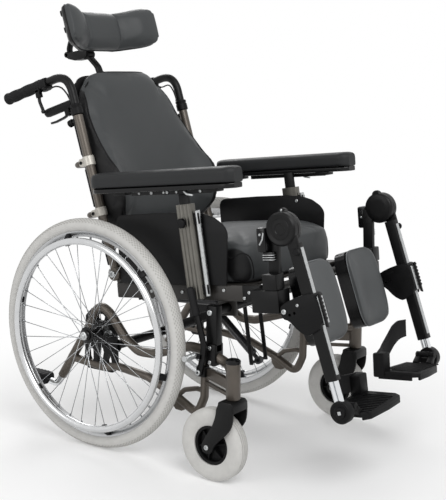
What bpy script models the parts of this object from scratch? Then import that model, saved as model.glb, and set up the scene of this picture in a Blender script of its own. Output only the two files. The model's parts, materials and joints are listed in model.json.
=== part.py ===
"""Reclining wheelchair with tilting seat, telescopic armrests and elevating legrests.

Metres, +Z up, front towards -Y, the occupant's left towards +X, floor at z = 0. The chair's own
frame has its origin on the floor below the rear axle. Side pieces are modelled on the left and
mirrored for the right. Heights and lengths in a seat, back, leg or foot frame are measured from
that frame's pivot.
"""

import math

import bmesh
import bpy
from mathutils import Euler, Matrix, Vector

GAP = 0.0003  # between pieces that touch
SIDES = (("left", 1), ("right", -1))

# Chair frame
AXLE_Y = 0.2057  # the rear axle, seen from the middle of the chair's length
FRAME_X = 0.235  # the middle of each side frame's tubes, which sets the chair's width
TUBE_R = 0.0125
RAIL_R = 0.011
PLATE_SET = 0.009  # the axle plate's inner face lies this far inside the tubes' middle
PLATE_THICK = 0.014
PLATE_IN = FRAME_X - PLATE_SET
PLATE_OUT = PLATE_IN + PLATE_THICK

# Rear wheels
TYRE_R = 0.305
TYRE_SECTION = 0.019
TYRE_FOOT = TYRE_SECTION * math.tan(math.pi / 8)  # half of the tyre's flat on the rim
AXLE_Z = TYRE_R
AXLE_R = 0.006
SLEEVE_R = 0.0130
BUTTON_R = 0.0110
HUB_CLEAR = 0.0225  # from the axle plate to the hub
HUB_LONG = 0.0590
HUB_R = 0.0150
HUB_IN = PLATE_OUT + HUB_CLEAR
HUB_OUT = HUB_IN + HUB_LONG
FLANGE_R = 0.022
FLANGE_HALF = 0.0025
FLANGE_INSETS = (0.0080, 0.0095)
FLANGES = (HUB_IN + FLANGE_INSETS[0], HUB_OUT - FLANGE_INSETS[1])
WHEEL_DISH = 0.0303  # from the hub's inner end to the middle of the tyre
WHEEL_X = HUB_IN + WHEEL_DISH
RIM_DEPTH = 0.0097
RIM_LIP = 0.0061
RIM_TAPER = 0.00037
RIM_CLEAR = 0.00073  # from the rim's lips to the tyre's sides
RIM_SEAT = TYRE_R - 2 * TYRE_SECTION - GAP
RIM_R = (RIM_SEAT - RIM_DEPTH, RIM_SEAT + RIM_LIP)  # inner edge and lip
RIM_HALF = (TYRE_FOOT - RIM_TAPER, TYRE_FOOT + RIM_LIP - GAP + RIM_CLEAR)
HANDRIM_OUT = 0.0284  # from the middle of the tyre to the handrim
HANDRIM_DROP = 0.0086  # from the rim's inner edge to the handrim's middle
HANDRIM_X = WHEEL_X + HANDRIM_OUT
HANDRIM_R = RIM_R[0] - HANDRIM_DROP
HANDRIM_TUBE = 0.0095
HANDRIM_TABS = 6
WHEEL_STEPS = 28
SPOKES = 28
SPOKE_R = 0.0011
SPOKE_HOLE = 0.0025  # from the flange's edge to the spokes
SPOKE_SINK = 0.0030  # into the rim

# Castors
CASTOR_OUT = 0.065
CASTOR_X = FRAME_X + CASTOR_OUT
CASTOR_Y = -0.4576
CASTOR_TRAIL = 0.055
CASTOR_R = 0.0910
CASTOR_HALF = 0.0210
CASTOR_HUB_R = 0.0490
CASTOR_STEPS = 16
CASTOR_BOLT_R = 0.0050
HOUSING_R = 0.0175
HOUSING_RISE = 0.031  # from the top of the castor wheel to the housing
HOUSING_HIGH = 0.100
HOUSING_Z = (2 * CASTOR_R + HOUSING_RISE, 2 * CASTOR_R + HOUSING_RISE + HOUSING_HIGH)
STEM_R = 0.0085
FORK_ARM = 0.006
FORK_ARM_X = CASTOR_HALF + FORK_ARM / 2 + 0.005

# Parking brake
BRAKE_Y = -0.330
BRAKE_Z = 0.250
BRAKE_OUT = 0.0268  # from the frame's tubes to the lever
BRAKE_THICK = 0.0066
BRAKE_X = (FRAME_X + BRAKE_OUT, FRAME_X + BRAKE_OUT + BRAKE_THICK)
BRAKE_PIN_R = 0.0040
SHOE_R = 0.0080
SHOE_CLEAR = 0.00336  # from the tyre with the brake off
SHOE_Z = 0.290
SHOE_Y = -math.sqrt((TYRE_R + SHOE_R + SHOE_CLEAR) ** 2 - (SHOE_Z - AXLE_Z) ** 2)

# Seat
PIVOT_Y = -0.350
PIVOT_RISE = 0.095  # from the axle to the pivot of the tilt
PIVOT_Z = AXLE_Z + PIVOT_RISE
SEAT_TILT = math.radians(-5.65)
RAIL_INSET = 0.013  # the seat rails' outer faces lie this far inside the tubes' middle
RAIL_WIDE = 0.022
SEAT_RAIL_X = (FRAME_X - RAIL_INSET - RAIL_WIDE, FRAME_X - RAIL_INSET)
SEAT_RAIL_Z = (0.025, 0.065)
HINGE_Y = 0.315
HINGE_Z = 0.090
SEAT_RAIL_Y = (-0.135, HINGE_Y + 0.005)
CUSHION_X = SEAT_RAIL_X[1] - 0.008
CUSHION_Y = (-0.100, HINGE_Y - 0.015)
CUSHION_Z = (SEAT_RAIL_Z[1] + GAP, 0.185)

# Gas springs: (y, z) of their eyes
SPRING_A = (PIVOT_Y + 0.020, PIVOT_Z - 0.178)  # lower eye of the tilt spring, chair frame
SPRING_B = (0.220, 0.012)  # upper eye, seat frame
SPRING_C = (0.050, 0.000)  # front eye of the recline spring, seat frame
SPRING_D = (0.020, -0.075)  # rear eye, back frame
TILT_X = 0.0
RECLINE_X = 0.110
SPRING_R = 0.0115
SPRING_ROD_R = 0.0043
SPRING_PIN_R = 0.0040
SPRING_EYE_R = 0.0105
SPRING_EYE_HALF = 0.0080
SPRING_EAR = 0.0050

# Back
BACK_LEAN = math.radians(-17.0)
BACK_X = FRAME_X - 0.010
BACK_HIGH = 0.4300
BACK_HALF = BACK_X - 0.0135
BACK_MIDDLE = 0.330
BACK_PAD_HIGH = 0.460
SHELL_HALF = BACK_HALF - 0.0115
SHELL_THICK = 0.0044
SHELL_MIDDLE = BACK_MIDDLE + 0.005
SHELL_HIGH = 0.430
SHELL_REAR = 0.0440
BAR_R = 0.0080
BAR_Y = SHELL_REAR + GAP + BAR_R
HINGE_PIN_R = 0.0060

# Headrest
HEAD_HALF = 0.172
HEAD_HIGH = 0.118
HEAD_DROP = 0.020  # from the hinge to the pad's middle
MAST_Y = 0.085
MAST_HALF = (0.0120, 0.0050)
LINK = (0.1155, 0.6345)  # (y, z) of the link's clamp
HEAD_HINGE = (0.1150, 0.7040)
HEAD_PIN_R = 0.0030

# Push handles
HANDLE_Z = 0.5425
HANDLE_R = 0.0115
GRIP_Y = (0.1025, 0.2430)
LEVER_X = BACK_X + 0.0195
LEVER_Y = 0.1020
LEVER_Z = HANDLE_Z - 0.0300
LEVER_PIN_R = 0.0020
RELEASE_PIVOT = (0.0300, 0.4420)

# Armrests
POST_THICK = 0.020
POST_X = (SEAT_RAIL_X[1] + 0.0105, SEAT_RAIL_X[1] + 0.0105 + POST_THICK)
POST_Y = 0.037
POST_LEAN = math.radians(-3.8)
POST_Z = (0.033, 0.268)
POST_HALF_Y = 0.0235
PAD_X = POST_X[1] + 0.0195
PAD_WIDE = 0.0686
PAD_Y = (-0.1237, 0.3130)
PAD_TOP = 0.3565
PAD_HIGH = 0.033

# Legrests
SWING_X = SEAT_RAIL_X[1] + 0.018
SWING_Y = -0.188
SWING_PIN_R = 0.0097
KNEE_Y = SWING_Y - 0.0396
KNEE_Z = 0.2031
KNEE_R = 0.0400
KNEE_HALF = 0.0175  # both halves of the knee joint, from its middle plane
KNEE_PIN_R = 0.0060
LEG_LEAN = math.radians(-19.3)
LEG_X = SWING_X + 0.0005
LEG_Y = -0.0185  # the leg runs this far in front of the knee's axis
LEG_HALF_X = 0.0125
LEG_HALF_Y = 0.0150
LEG_END = -0.3655
CALF_END = LEG_X - 0.0605
CALF_WIDE = 0.140
FOOT_DROP = {"right": -0.4390, "left": -0.4150}
FOOT_LEAN = math.radians(-6.0)
FOOT_ROLL = math.radians(4.0)
FOOT_DISC_X = (LEG_X - 0.0115, LEG_X + 0.0115)
FOOT_TUBE_R = 0.0062
FOOT_PIN_R = 0.0040
FOOT_HINGE_X = FOOT_DISC_X[0] - 0.0095
FOOT_HINGE_Z = 0.0100

COLOURS = {
    "frame_taupe": ((0.235, 0.202, 0.168), 0.38, 0.85),
    "rail_taupe": ((0.102, 0.089, 0.074), 0.42, 0.80),
    "post_grey": ((0.147, 0.147, 0.130), 0.40, 0.85),
    "black_metal": ((0.012, 0.012, 0.013), 0.45, 0.30),
    "black_plastic": ((0.010, 0.010, 0.011), 0.55, 0.0),
    "grip_rubber": ((0.013, 0.013, 0.014), 0.80, 0.0),
    "vinyl": ((0.075, 0.079, 0.081), 0.50, 0.0),
    "pad_vinyl": ((0.016, 0.016, 0.018), 0.55, 0.0),
    "tyre_grey": ((0.575, 0.560, 0.530), 0.75, 0.0),
    "rim_silver": ((0.560, 0.560, 0.560), 0.30, 0.95),
    "handrim_silver": ((0.620, 0.620, 0.620), 0.22, 0.95),
    "chrome": ((0.700, 0.700, 0.700), 0.12, 1.0),
    "spring_grey": ((0.060, 0.060, 0.062), 0.40, 0.60),
}


def clear_scene():
    for obj in list(bpy.data.objects):
        bpy.data.objects.remove(obj)


def material(name):
    """The named Principled material, made once."""
    found = bpy.data.materials.get(name)
    if found:
        return found
    colour, roughness, metallic = COLOURS[name]
    made = bpy.data.materials.new(name)
    made.use_nodes = True
    shader = made.node_tree.nodes["Principled BSDF"]
    shader.inputs["Base Color"].default_value = (*colour, 1.0)
    shader.inputs["Roughness"].default_value = roughness
    shader.inputs["Metallic"].default_value = metallic
    made.diffuse_color = (*colour, 1.0)
    return made


def tidied(mesh):
    """The mesh with doubled points merged and its faces turned outwards."""
    work = bmesh.new()
    work.from_mesh(mesh)
    bmesh.ops.remove_doubles(work, verts=work.verts, dist=1e-6)
    bmesh.ops.recalc_face_normals(work, faces=work.faces)
    work.to_mesh(mesh)
    work.free()
    return mesh


def evaluated(obj):
    """The object's mesh after its modifiers, with the object itself removed."""
    graph = bpy.context.evaluated_depsgraph_get()
    mesh = bpy.data.meshes.new_from_object(obj.evaluated_get(graph), depsgraph=graph)
    bpy.data.objects.remove(obj)
    return tidied(mesh)


def scratch(data):
    obj = bpy.data.objects.new("scratch", data)
    bpy.context.scene.collection.objects.link(obj)
    return obj


def joined(shapes, cuts=()):
    """One mesh: the shapes united, then the cuts taken away."""
    base = scratch(shapes[0])
    groups = []
    for operation, meshes in (("UNION", shapes[1:]), ("DIFFERENCE", cuts)):
        if not meshes:
            continue
        group = bpy.data.collections.new(operation.lower())
        for mesh in meshes:
            group.objects.link(bpy.data.objects.new("tool", mesh))
        step = base.modifiers.new(operation.lower(), "BOOLEAN")
        step.operation = operation
        step.solver = "EXACT"
        step.operand_type = "COLLECTION"
        step.collection = group
        groups.append(group)
    mesh = evaluated(base)
    for group in groups:
        for tool in list(group.objects):
            bpy.data.objects.remove(tool)
        bpy.data.collections.remove(group)
    return mesh


def filleted(points, bend, steps):
    """The path with each corner rounded to the bend radius, as far as its legs allow.

    The steps are those of a quarter turn, so a slight corner takes fewer.
    """
    path = [Vector(p) for p in points]
    out = [path[0]]
    for before, corner, after in zip(path, path[1:], path[2:]):
        back, ahead = before - corner, after - corner
        half = back.angle(ahead) / 2
        reach = bend / math.tan(half) if half < 1.57 else 0.0
        reach = min(reach, 0.48 * back.length, 0.48 * ahead.length)
        count = round((math.pi - 2 * half) / (math.pi / 2) * steps)
        if reach < 1e-4 or count < 1:
            out.append(corner)
            continue
        start = corner + back.normalized() * reach
        end = corner + ahead.normalized() * reach
        for i in range(count + 1):
            t = i / count
            out.append(start * (1 - t) ** 2 + corner * (2 * t * (1 - t)) + end * t**2)
    out.append(path[-1])
    return out


def pipe(points, radius, bend=0.0, sides=8, steps=4, closed=False):
    """A round bar along the points, made from a curve with a bevel and filled ends."""
    curve = bpy.data.curves.new("pipe", "CURVE")
    curve.dimensions = "3D"
    spline = curve.splines.new("POLY")
    path = filleted(points, bend, steps)
    spline.points.add(len(path) - 1)
    for point, place in zip(spline.points, path):
        point.co = (*place, 1.0)
    spline.use_cyclic_u = closed
    curve.bevel_depth = radius
    curve.bevel_resolution = (sides - 4) // 2
    curve.use_fill_caps = not closed
    return evaluated(scratch(curve))


def block(low, high):
    """A box between two corners."""
    work = bmesh.new()
    bmesh.ops.create_cube(work, size=1.0)
    low, high = Vector(low), Vector(high)
    for vert in work.verts:
        for axis in range(3):
            share = vert.co[axis] + 0.5
            vert.co[axis] = low[axis] * (1 - share) + high[axis] * share
    mesh = bpy.data.meshes.new("block")
    work.to_mesh(mesh)
    work.free()
    return mesh


def plate(outline, low, high, axis=0):
    """The outline extruded along an axis. Its pairs are the two other coordinates, in order."""
    work = bmesh.new()
    ring = []
    for pair in outline:
        spot = list(pair)
        spot.insert(axis, low)
        ring.append(work.verts.new(spot))
    way = Vector((0, 0, 0))
    way[axis] = high - low
    face = work.faces.new(ring)
    raised = bmesh.ops.extrude_face_region(work, geom=[face])
    moved = [item for item in raised["geom"] if isinstance(item, bmesh.types.BMVert)]
    bmesh.ops.translate(work, verts=moved, vec=way)
    mesh = bpy.data.meshes.new("plate")
    work.to_mesh(mesh)
    work.free()
    return tidied(mesh)


def strip(path, width, low, high):
    """A flat bar of the given width that follows a path of (y, z) pairs, between two x."""
    points = [Vector(p) for p in path]
    left, right = [], []
    for i, point in enumerate(points):
        ahead = points[min(i + 1, len(points) - 1)] - points[max(i - 1, 0)]
        side = Vector((-ahead.y, ahead.x)).normalized() * width / 2
        left.append(point + side)
        right.append(point - side)
    return plate([tuple(p) for p in left + right[::-1]], low, high)


def strap(path, high, thick):
    """An upright band that follows (x, y, bottom z) points, with its thickness across the path."""
    work = bmesh.new()
    rings = []
    points = [Vector(p) for p in path]
    for i, point in enumerate(points):
        ahead = points[min(i + 1, len(points) - 1)] - points[max(i - 1, 0)]
        side = Vector((-ahead.y, ahead.x, 0)).normalized() * thick / 2
        rise = Vector((0, 0, high))
        corners = (point - side, point + side, point + side + rise, point - side + rise)
        rings.append([work.verts.new(p) for p in corners])
    work.faces.new(rings[0])
    work.faces.new(rings[-1])
    for ring, following in zip(rings, rings[1:]):
        for k in range(4):
            j = (k + 1) % 4
            work.faces.new((ring[k], ring[j], following[j], following[k]))
    mesh = bpy.data.meshes.new("strap")
    work.to_mesh(mesh)
    work.free()
    return tidied(mesh)


def turned(profile, centre, axis, steps, ring=False):
    """(radius, height) pairs turned round an axis through the centre. A ring closes on itself.

    A ring's radii are those of its flats, so it stands on a flat and its bore is clear.
    """
    work = bmesh.new()
    turn = Vector((0, 0, 1)).rotation_difference(Vector(axis)).to_matrix()
    rows = []
    grow = 1 / math.cos(math.pi / steps) if ring else 1.0
    for k in range(steps):
        angle = 2 * math.pi * (k + 0.5) / steps
        row = []
        for radius, height in profile:
            reach = radius * grow
            spot = Vector((reach * math.cos(angle), reach * math.sin(angle), height))
            row.append(work.verts.new(Vector(centre) + turn @ spot))
        rows.append(row)
    last = len(profile) if ring else len(profile) - 1
    for row, following in zip(rows, rows[1:] + rows[:1]):
        for j in range(last):
            k = (j + 1) % len(profile)
            work.faces.new((row[j], row[k], following[k], following[j]))
    if not ring:
        work.faces.new([row[0] for row in rows])
        work.faces.new([row[-1] for row in rows])
    mesh = bpy.data.meshes.new("turned")
    work.to_mesh(mesh)
    work.free()
    return tidied(mesh)


def disc(centre, axis, radius, half, steps=12):
    return turned([(radius, -half), (radius, half)], centre, axis, steps)


def rod(start, end, radius, sides=8):
    return pipe([start, end], radius, sides=sides)


def bore(start, end, radius, sides=8):
    """A cutter whose flats, not its corners, lie at the radius."""
    return rod(start, end, radius / math.cos(math.pi / sides), sides)


def soft_block(counts, place):
    """A closed box surface with a grid on each face, each point moved by place(u, v, w)."""
    work = bmesh.new()
    for axis in range(3):
        across, up = [k for k in range(3) if k != axis]
        for end in (-1.0, 1.0):
            grid = []
            for i in range(counts[across] + 1):
                row = []
                for j in range(counts[up] + 1):
                    spot = [end, end, end]
                    spot[across] = 2 * i / counts[across] - 1
                    spot[up] = 2 * j / counts[up] - 1
                    row.append(work.verts.new(place(*spot)))
                grid.append(row)
            for i in range(counts[across]):
                for j in range(counts[up]):
                    corners = (grid[i][j], grid[i + 1][j], grid[i + 1][j + 1], grid[i][j + 1])
                    work.faces.new(corners)
    mesh = bpy.data.meshes.new("soft")
    work.to_mesh(mesh)
    work.free()
    return tidied(mesh)


def rounded(u, v, sharp):
    """(u, v) in a square brought towards a square with rounded corners."""
    far = max(abs(u), abs(v))
    if far < 1e-9:
        return u, v
    scale = far / (abs(u) ** sharp + abs(v) ** sharp) ** (1 / sharp)
    return u * scale, v * scale


def frame(name, parent, location, turn=0.0):
    """An empty that carries a group, turned about X by an angle in its parent's frame."""
    obj = bpy.data.objects.new(name, None)
    bpy.context.scene.collection.objects.link(obj)
    obj.empty_display_size = 0.03
    obj.parent = parent
    obj.location = location
    obj.rotation_euler = Euler((turn, 0.0, 0.0))
    return obj


def piece(name, mesh, look, parent, pivot=(0, 0, 0), side=1):
    """A sub-part with its origin at the pivot. The mesh is in its parent's frame, on the left."""
    place = Vector(pivot)
    if side < 0:
        mesh.transform(Matrix.Diagonal((-1, 1, 1, 1)))
        mesh.flip_normals()
        place.x = -place.x
    mesh.transform(Matrix.Translation(-place))
    mesh.materials.clear()
    mesh.materials.append(material(look))
    mesh.shade_smooth()
    mesh.set_sharp_from_angle(angle=math.radians(35))
    mesh.name = name
    obj = bpy.data.objects.new(name, mesh)
    bpy.context.scene.collection.objects.link(obj)
    obj.parent = parent
    obj.location = place
    return obj


def at(x, path):
    """(y, z) pairs as points in the plane of the given x."""
    return [(x, y, z) for y, z in path]


UPPER_TUBE = at(
    FRAME_X,
    [
        (0.168, 0.151),
        (0.052, 0.322),
        (0.036, 0.356),
        (0.013, 0.366),
        (-0.012, 0.352),
        (-0.066, 0.290),
        (-0.110, 0.262),
        (-0.160, 0.264),
        (-0.279, 0.302),
        (-0.332, 0.300),
        (-0.396, 0.275),
    ],
) + [(CASTOR_X, CASTOR_Y, HOUSING_Z[0] + 0.057)]

LOWER_RAIL = at(
    FRAME_X,
    [
        (0.128, 0.210),
        (0.068, 0.204),
        (0.006, 0.2006),
        (-0.034, 0.210),
        (-0.140, 0.199),
        (-0.235, 0.164),
        (-0.302, 0.129),
        (-0.3240, 0.178),
        (-0.3255, 0.240),
        (-0.3255, 0.300),
    ],
)


def upper_tube(spare=0.0):
    return pipe(UPPER_TUBE, TUBE_R + spare, bend=0.045, steps=3)


def side_frame():
    """Bent tubes of one side with the axle plate, castor housing and brake bracket."""
    eye = at(FRAME_X, [(-0.236, 0.164), (-0.262, 0.186), (-0.300, 0.196), (-0.326, 0.194)])
    strut_end = (CASTOR_X, CASTOR_Y)
    arms = []
    foot = HOUSING_Z[0]
    for low, high, half in ((foot + 0.019, foot + 0.046, 0.007), (foot + 0.0005, foot + 0.0105, 0.005)):
        start = Vector((FRAME_X, -0.325))
        way = Vector(strut_end) - start
        across = Vector((-way.y, way.x)).normalized() * half
        corners = (start + across, start + way + across, start + way - across, start - across)
        arms.append(plate([tuple(c) for c in corners], low, high, axis=2))
    axle_plate = [(-0.034, 0.2033), (-0.030, 0.345), (-0.016, 0.3585)]
    axle_plate += [(0.049, 0.3585), (0.072, 0.336), (0.080, 0.203), (0.066, 0.1895), (-0.020, 0.1895)]
    sleeve = rod((PLATE_IN + 0.002, 0, AXLE_Z), (HUB_IN - GAP, 0, AXLE_Z), SLEEVE_R)
    face = BRAKE_X[0] - 0.0006
    low, high = (FRAME_X + 0.001, BRAKE_Y - 0.014, BRAKE_Z - 0.014), (face, BRAKE_Y + 0.014, BRAKE_Z + 0.014)
    bracket = block(low, high)
    end = BRAKE_X[1] + 0.0028
    pin = rod((face - 0.0052, BRAKE_Y, BRAKE_Z), (end, BRAKE_Y, BRAKE_Z), BRAKE_PIN_R)
    head = disc((end, BRAKE_Y, BRAKE_Z), (1, 0, 0), 0.0075, 0.0017, steps=8)
    hanger = [(-0.214, 0.178), (-0.268, 0.152), (-0.262, 0.128), (-0.224, 0.130)]
    low, high = HOUSING_Z
    housing = turned(
        [(HOUSING_R - 0.002, low), (HOUSING_R, low + 0.003), (HOUSING_R, high - 0.008), (0.014, high)],
        (CASTOR_X, CASTOR_Y, 0),
        (0, 0, 1),
        10,
    )
    shapes = [
        upper_tube(),
        pipe(LOWER_RAIL, RAIL_R, bend=0.025, sides=6, steps=3),
        pipe(eye, 0.004, sides=4),
        housing,
        *arms,
        plate(axle_plate, PLATE_IN, PLATE_OUT),
        sleeve,
        bracket,
        pin,
        head,
        plate(hanger, FRAME_X - 0.003, FRAME_X + 0.003),
    ]
    axle_bore = bore((PLATE_IN - 0.01, 0, AXLE_Z), (HUB_IN + 0.01, 0, AXLE_Z), AXLE_R + GAP)
    stem_bore = bore((CASTOR_X, CASTOR_Y, low - 0.01), (CASTOR_X, CASTOR_Y, high - 0.012), STEM_R + GAP)
    return joined(shapes, [axle_bore, stem_bore])


def cross_frame():
    """Cross tubes, spine arms and the uprights that carry the seat's pivot."""
    tube_y, tube_z = -0.020, 0.262
    end = PLATE_IN - GAP
    shapes = [rod((-end, tube_y, tube_z), (end, tube_y, tube_z), TUBE_R)]
    half = FRAME_X - 0.010
    shapes.append(rod((-half, PIVOT_Y, PIVOT_Z), (half, PIVOT_Y, PIVOT_Z), TUBE_R, sides=12))
    cuts = []
    for _, side in SIDES:
        low, high = sorted((side * 0.031, side * 0.041))
        shapes.append(strip([(tube_y, tube_z), (-0.15, 0.318), (PIVOT_Y, PIVOT_Z)], 0.030, low, high))
        arm = [(PIVOT_Y + 0.045, PIVOT_Z - 0.015), (SPRING_A[0], SPRING_A[1] - 0.008)]
        shapes.append(strip(arm, 0.024, low, high))
        low, high = sorted((side * (end - 0.005), side * end))
        shapes.append(disc(((low + high) / 2, tube_y, tube_z), (1, 0, 0), 0.021, 0.0025, steps=8))
        front, rear = PIVOT_Y - 0.0200, PIVOT_Y + 0.0128
        low, high = sorted((side * (FRAME_X - TUBE_R), side * (FRAME_X + TUBE_R)))
        shapes.append(block((low, front, 0.300), (high, rear, PIVOT_Z + 0.0175)))
        low, high = sorted((side * (FRAME_X - 0.0175), side * (FRAME_X + 0.0175)))
        shapes.append(block((low, front, 0.2670), (high, rear, 0.322)))
        clamp = upper_tube(GAP)
        if side < 0:
            clamp.transform(Matrix.Diagonal((-1, 1, 1, 1)))
            clamp.flip_normals()
        cuts.append(clamp)
    shapes.append(rod((-0.036, *SPRING_A), (0.036, *SPRING_A), SPRING_PIN_R, sides=8))
    return joined(shapes, cuts)


def rear_tyre():
    """Solid tyre, eight-sided in section, with its flats at the section's radius."""
    corner = TYRE_SECTION / math.cos(math.pi / 8)
    profile = []
    for k in range(8):
        angle = 2 * math.pi * (k + 0.5) / 8
        profile.append((TYRE_R - TYRE_SECTION + corner * math.cos(angle), corner * math.sin(angle)))
    return turned(profile, (WHEEL_X, 0, AXLE_Z), (1, 0, 0), WHEEL_STEPS, ring=True)


def spoke(number):
    """A spoke from a flange to the rim. Spokes of one flange lead and trail by turns."""
    outer = number % 2
    lead = 1 if (number // 2) % 2 else -1
    angle = 2 * math.pi * number / SPOKES
    foot_angle = angle - lead * math.radians(50)
    foot_x = FLANGES[outer] + lead * 0.0012
    start = FLANGE_R - SPOKE_HOLE
    foot = (foot_x, start * math.cos(foot_angle), AXLE_Z + start * math.sin(foot_angle))
    rim_x = WHEEL_X + (0.003 if outer else -0.003)
    tip = RIM_R[0] + SPOKE_SINK
    return (foot, (rim_x, tip * math.cos(angle), AXLE_Z + tip * math.sin(angle)))


def spokes():
    """All the spokes of a wheel as three-sided bars in one mesh."""
    work = bmesh.new()
    for number in range(SPOKES):
        foot, tip = (Vector(p) for p in spoke(number))
        way = (tip - foot).normalized()
        side = way.cross(Vector((1, 0, 0))).normalized()
        other = way.cross(side)
        rings = []
        for end in (foot, tip):
            ring = []
            for k in range(3):
                angle = 2 * math.pi * k / 3
                offset = side * math.cos(angle) + other * math.sin(angle)
                ring.append(work.verts.new(end + offset * SPOKE_R))
            rings.append(ring)
        work.faces.new(rings[0])
        work.faces.new(rings[1])
        for k in range(3):
            j = (k + 1) % 3
            work.faces.new((rings[0][k], rings[0][j], rings[1][j], rings[1][k]))
    mesh = bpy.data.meshes.new("spokes")
    work.to_mesh(mesh)
    work.free()
    return tidied(mesh)


def rear_wheel():
    """Rim, spokes and hub with its bore."""
    inner, lip = RIM_R
    seat = RIM_SEAT
    narrow, wide = RIM_HALF
    rim = [(inner, -narrow), (inner, narrow), (lip, wide), (seat, narrow + 0.0004)]
    rim += [(seat, -narrow - 0.0004), (lip, -wide)]
    hub = [(HUB_R, HUB_IN)]
    for flange in FLANGES:
        low, high = flange - FLANGE_HALF, flange + FLANGE_HALF
        hub += [(HUB_R, low), (FLANGE_R, low), (FLANGE_R, high), (HUB_R, high)]
    hub += [(HUB_R, HUB_OUT)]
    shapes = [
        turned(hub, (0, 0, AXLE_Z), (1, 0, 0), 10),
        turned(rim, (WHEEL_X, 0, AXLE_Z), (1, 0, 0), WHEEL_STEPS, ring=True),
        spokes(),
    ]
    axle_bore = bore((HUB_IN - 0.01, 0, AXLE_Z), (HUB_OUT + 0.01, 0, AXLE_Z), AXLE_R + GAP)
    return joined(shapes, [axle_bore])


def rear_axle():
    """Quick-release pin with its button at the outer end."""
    shapes = [
        rod((PLATE_IN + GAP, 0, AXLE_Z), (HUB_OUT + 0.004, 0, AXLE_Z), AXLE_R),
        disc((HUB_OUT + GAP + 0.003, 0, AXLE_Z), (1, 0, 0), BUTTON_R, 0.003),
        disc((HUB_OUT + GAP + 0.006, 0, AXLE_Z), (1, 0, 0), 0.0060, 0.003),
    ]
    return joined(shapes)


def handrim():
    """Handrim tube with the six tabs that meet the rim."""
    profile = []
    for k in range(6):
        angle = 2 * math.pi * k / 6
        profile.append((HANDRIM_R + HANDRIM_TUBE * math.cos(angle), HANDRIM_TUBE * math.sin(angle)))
    shapes = [turned(profile, (HANDRIM_X, 0, AXLE_Z), (1, 0, 0), WHEEL_STEPS, ring=True)]
    foot = [(RIM_R[0] + share * (RIM_R[1] - RIM_R[0]), share) for share in (0.15, 0.80)]
    outline = [
        (WHEEL_X + RIM_HALF[0] + share * (RIM_HALF[1] - RIM_HALF[0]) + GAP, radius) for radius, share in foot
    ]
    outline += [(HANDRIM_X - 0.003, HANDRIM_R + 0.007), (HANDRIM_X - 0.003, HANDRIM_R)]
    for k in range(HANDRIM_TABS):
        tab = plate(outline, -0.009, 0.009, axis=1)
        tab.transform(Matrix.Rotation(2 * math.pi * (k + 0.25) / HANDRIM_TABS, 4, "X"))
        tab.transform(Matrix.Translation((0, 0, AXLE_Z)))
        shapes.append(tab)
    return joined(shapes)


def castor_fork():
    """Fork with its stem and the bolt that carries the wheel."""
    wheel_y = CASTOR_Y + CASTOR_TRAIL
    low, high = CASTOR_R * 2 + 0.0040, HOUSING_Z[0] - 0.0005
    reach = FORK_ARM_X + 0.001
    shapes = [
        rod((CASTOR_X, CASTOR_Y, low + 0.002), (CASTOR_X, CASTOR_Y, HOUSING_Z[1] - 0.0125), STEM_R),
        block(
            (CASTOR_X - FORK_ARM_X - 0.003, CASTOR_Y - 0.022, low),
            (CASTOR_X + FORK_ARM_X + 0.003, CASTOR_Y + 0.026, high),
        ),
        disc((CASTOR_X, CASTOR_Y, high - 0.006), (0, 0, 1), 0.0200, 0.0060),
        rod((CASTOR_X - reach, wheel_y, CASTOR_R), (CASTOR_X + reach, wheel_y, CASTOR_R), CASTOR_BOLT_R),
    ]
    stem_y, hub_z = CASTOR_Y, CASTOR_R
    arm = [(stem_y - 0.016, high - 0.002), (stem_y - 0.021, high - 0.0405), (stem_y - 0.008, hub_z + 0.051)]
    arm += [(wheel_y - 0.017, hub_z + 0.003), (wheel_y - 0.010, hub_z - 0.014)]
    arm += [(wheel_y + 0.008, hub_z - 0.016), (wheel_y + 0.017, hub_z - 0.003)]
    arm += [(wheel_y + 0.013, hub_z + 0.017), (stem_y + 0.030, hub_z + 0.069), (stem_y + 0.026, high - 0.002)]
    for side in (-1, 1):
        x = CASTOR_X + side * FORK_ARM_X
        shapes.append(plate(arm, x - FORK_ARM / 2, x + FORK_ARM / 2))
        shapes.append(disc((x + side * 0.004, wheel_y, CASTOR_R), (1, 0, 0), 0.0080, 0.003, steps=6))
    return joined(shapes)


def castor_tyre():
    """Solid tyre with rounded shoulders and three grooves round the tread."""
    half, bore_r = CASTOR_HALF, CASTOR_HUB_R + GAP
    profile = [(bore_r, -half + 0.004), (CASTOR_R - 0.016, -half), (CASTOR_R - 0.004, -half + 0.007)]
    for middle in (-0.0055, 0.0055):
        profile += [(CASTOR_R, middle - 0.0018), (CASTOR_R - 0.0026, middle), (CASTOR_R, middle + 0.0018)]
    profile += [(CASTOR_R - 0.004, half - 0.007), (CASTOR_R - 0.016, half), (bore_r, half - 0.004)]
    centre = (CASTOR_X, CASTOR_Y + CASTOR_TRAIL, CASTOR_R)
    return turned(profile, centre, (1, 0, 0), CASTOR_STEPS, ring=True)


def castor_hub():
    """Hub disc with a boss and a bore for the bolt."""
    half = CASTOR_HALF
    boss = FORK_ARM_X - 0.0034
    bore_r = CASTOR_BOLT_R + 0.0004
    profile = [(bore_r, -boss), (0.0150, -boss), (0.0180, -0.008), (CASTOR_HUB_R, -half + 0.007)]
    profile += [(CASTOR_HUB_R, half - 0.007), (0.0180, 0.008), (0.0150, boss), (bore_r, boss)]
    centre = (CASTOR_X, CASTOR_Y + CASTOR_TRAIL, CASTOR_R)
    return turned(profile, centre, (1, 0, 0), CASTOR_STEPS, ring=True)


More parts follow.
